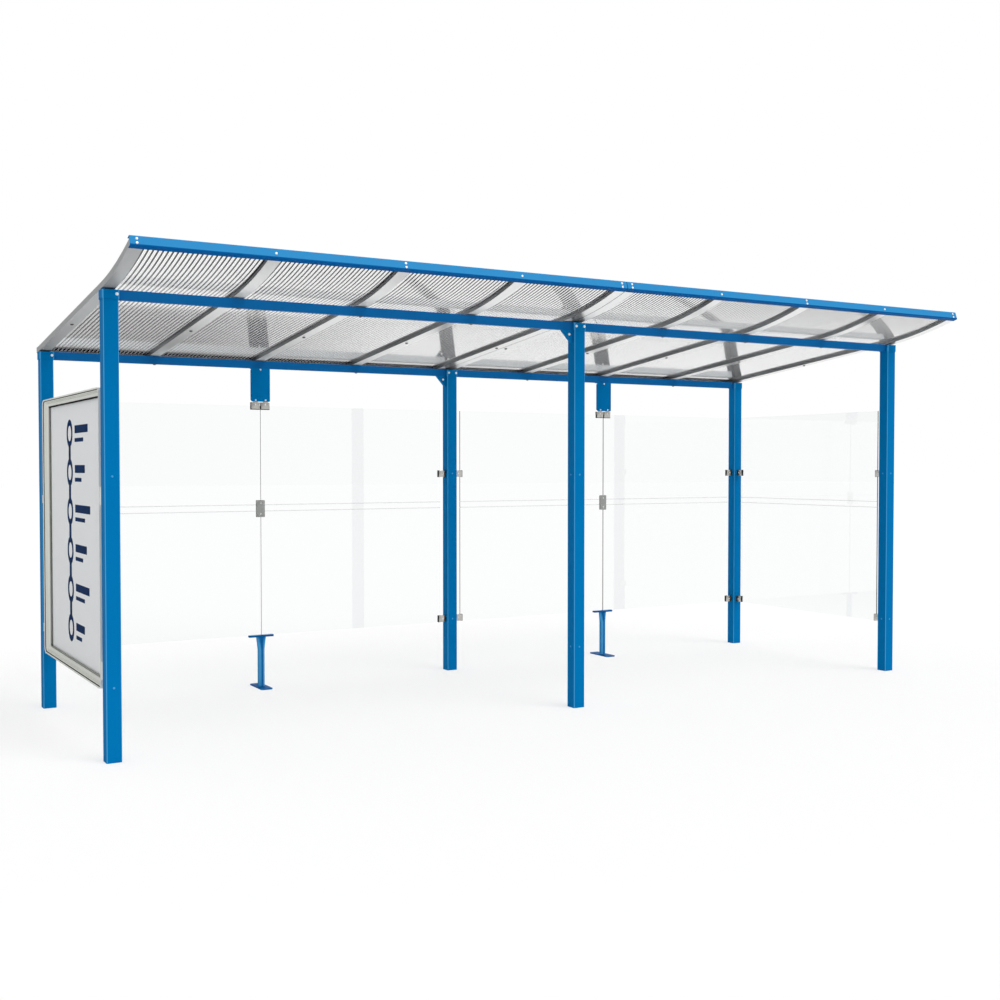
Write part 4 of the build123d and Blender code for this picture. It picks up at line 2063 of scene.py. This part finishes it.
@dataclass(frozen=True)
class Studio:
    """A white floor and sky, a broad soft sun and the camera. Sizes are in metres."""

    eye: tuple[float, float, float] = (-3.8385, -6.2571, 1.342)
    azimuth: float = 30.58
    down: float = 1.54
    lens: float = 44.59
    sensor: float = 36.0
    far: float = 200.0
    sky_light: float = 0.72
    sky_ramp: tuple[float, float] = (-0.2, 0.45)
    floor_size: float = 160.0
    floor_paint: str = "F4F4F4"
    floor_share: float = 0.6
    floor_glow: float = 1.06
    floor_ramp: tuple[float, float] = (-1.3, 1.3)
    ramp_y: float = 2.3
    lean: float = 0.3
    dim: float = 0.24
    sun_from: tuple[float, float, float] = (0.45, -0.95, 1.25)
    sun_height: float = 6.0
    sun_power: float = 1.3
    sun_spread: float = 40.0
    bounces: int = 24
    matt_bounces: int = 8

    def camera(self) -> None:
        """Stand the camera at a standing person's eye height, off the left front corner."""
        turn, tip = math.radians(self.azimuth), math.radians(self.down)
        level = Vector((math.sin(turn), math.cos(turn), 0)) * math.cos(tip)
        bpy.ops.object.camera_add(location=self.eye)
        camera = bpy.context.object
        ahead = level - UP * math.sin(tip)
        camera.rotation_euler = ahead.to_track_quat("-Z", "Y").to_euler()
        camera.data.lens = self.lens
        camera.data.sensor_width = self.sensor
        camera.data.clip_end = self.far
        bpy.context.scene.camera = camera

    def ramp(self, tree: Tree, value: Socket | Node, start: float, end: float) -> Node:
        """Rise from the studio's dim left side to its white right side.

        Args:
            tree: The tree that gets the node.
            value: How far to the right.
            start: Where the rise starts.
            end: Where it is white.

        Returns:
            The level.
        """
        ends = {"From Min": start, "From Max": end, "To Min": self.dim, "To Max": 1.0}
        return tree.add("MapRange", {"Value": value, **ends})

    def sky(self) -> None:
        """Light the shelter evenly, show white behind it, and mirror a studio dim at its left."""
        world = bpy.data.worlds.new("white_sky")
        bpy.context.scene.world = world
        tree = fresh_tree(world)
        way = tree.add("TexCoord").outputs["Generated"]
        side = tree.add("SeparateXYZ", {"Vector": way}).outputs["X"]
        ramp = self.ramp(tree, side, *self.sky_ramp)
        lit = tree.add("Mix", {"Factor": tree.mirror_ray(), "A": self.sky_light, "B": ramp})
        level = tree.add("Mix", {"Factor": tree.seen_ray(), "A": lit, "B": 1.0})
        glow = tree.add("Background", {"Color": (1, 1, 1, 1), "Strength": level})
        tree.add("OutputWorld", {"Surface": glow})

    def floor(self) -> None:
        """Lay a white floor that keeps the shelter's soft shadow."""
        plane = primitive("plane", "studio_floor", size=self.floor_size)
        paint = bpy.data.materials.new("studio_floor")
        tree = fresh_tree(paint)
        matt = tree.add("BsdfDiffuse", {"Color": linear(self.floor_paint)})
        parts = tree.add("SeparateXYZ", {"Vector": tree.place}).outputs
        ends = {0: parts["Y"], 1: -self.lean, 2: parts["X"]}
        side = tree.add("Math", ends, operation="MULTIPLY_ADD")
        shift = self.lean * self.ramp_y
        level = self.ramp(tree, side, *(end - shift for end in self.floor_ramp))
        card = tree.add("Emission", {"Strength": level})
        lit = tree.add("MixShader", {0: tree.mirror_ray(), 1: matt, 2: card})
        ends = {0: tree.seen_ray(), 1: self.floor_share}
        share = tree.add("Math", ends, operation="MULTIPLY")
        white = tree.add("Emission", {"Strength": self.floor_glow})
        both = tree.add("MixShader", {0: share, 1: lit, 2: white})
        tree.add("OutputMaterial", {"Surface": both})
        plane.data.materials.append(paint)

    def sun(self) -> None:
        """Hang one broad sun above the open front."""
        bpy.ops.object.light_add(type="SUN", location=UP * self.sun_height)
        lamp = bpy.context.object
        lamp.rotation_euler = Vector(self.sun_from).to_track_quat("Z", "Y").to_euler()
        lamp.data.energy = self.sun_power
        lamp.data.angle = math.radians(self.sun_spread)

    def make(self) -> None:
        """Make the studio, and let light pass all the roof's clear walls."""
        self.camera()
        self.sky()
        self.floor()
        self.sun()
        scene = bpy.context.scene
        scene.view_settings.view_transform = "Standard"
        scene.cycles.max_bounces = self.bounces
        scene.cycles.diffuse_bounces = self.matt_bounces
        scene.cycles.transmission_bounces = self.bounces
        scene.cycles.transparent_max_bounces = self.bounces


def main() -> None:
    """Build the shelter's looks in order."""
    logging.basicConfig(level=logging.INFO, format="%(name)s: %(message)s")
    for assembly in (Studio, PackedSolids, MultiwallSheets, Fasteners, GlassFittings, PosterCase):
        assembly().make()


if __name__ == "__main__":
    main()
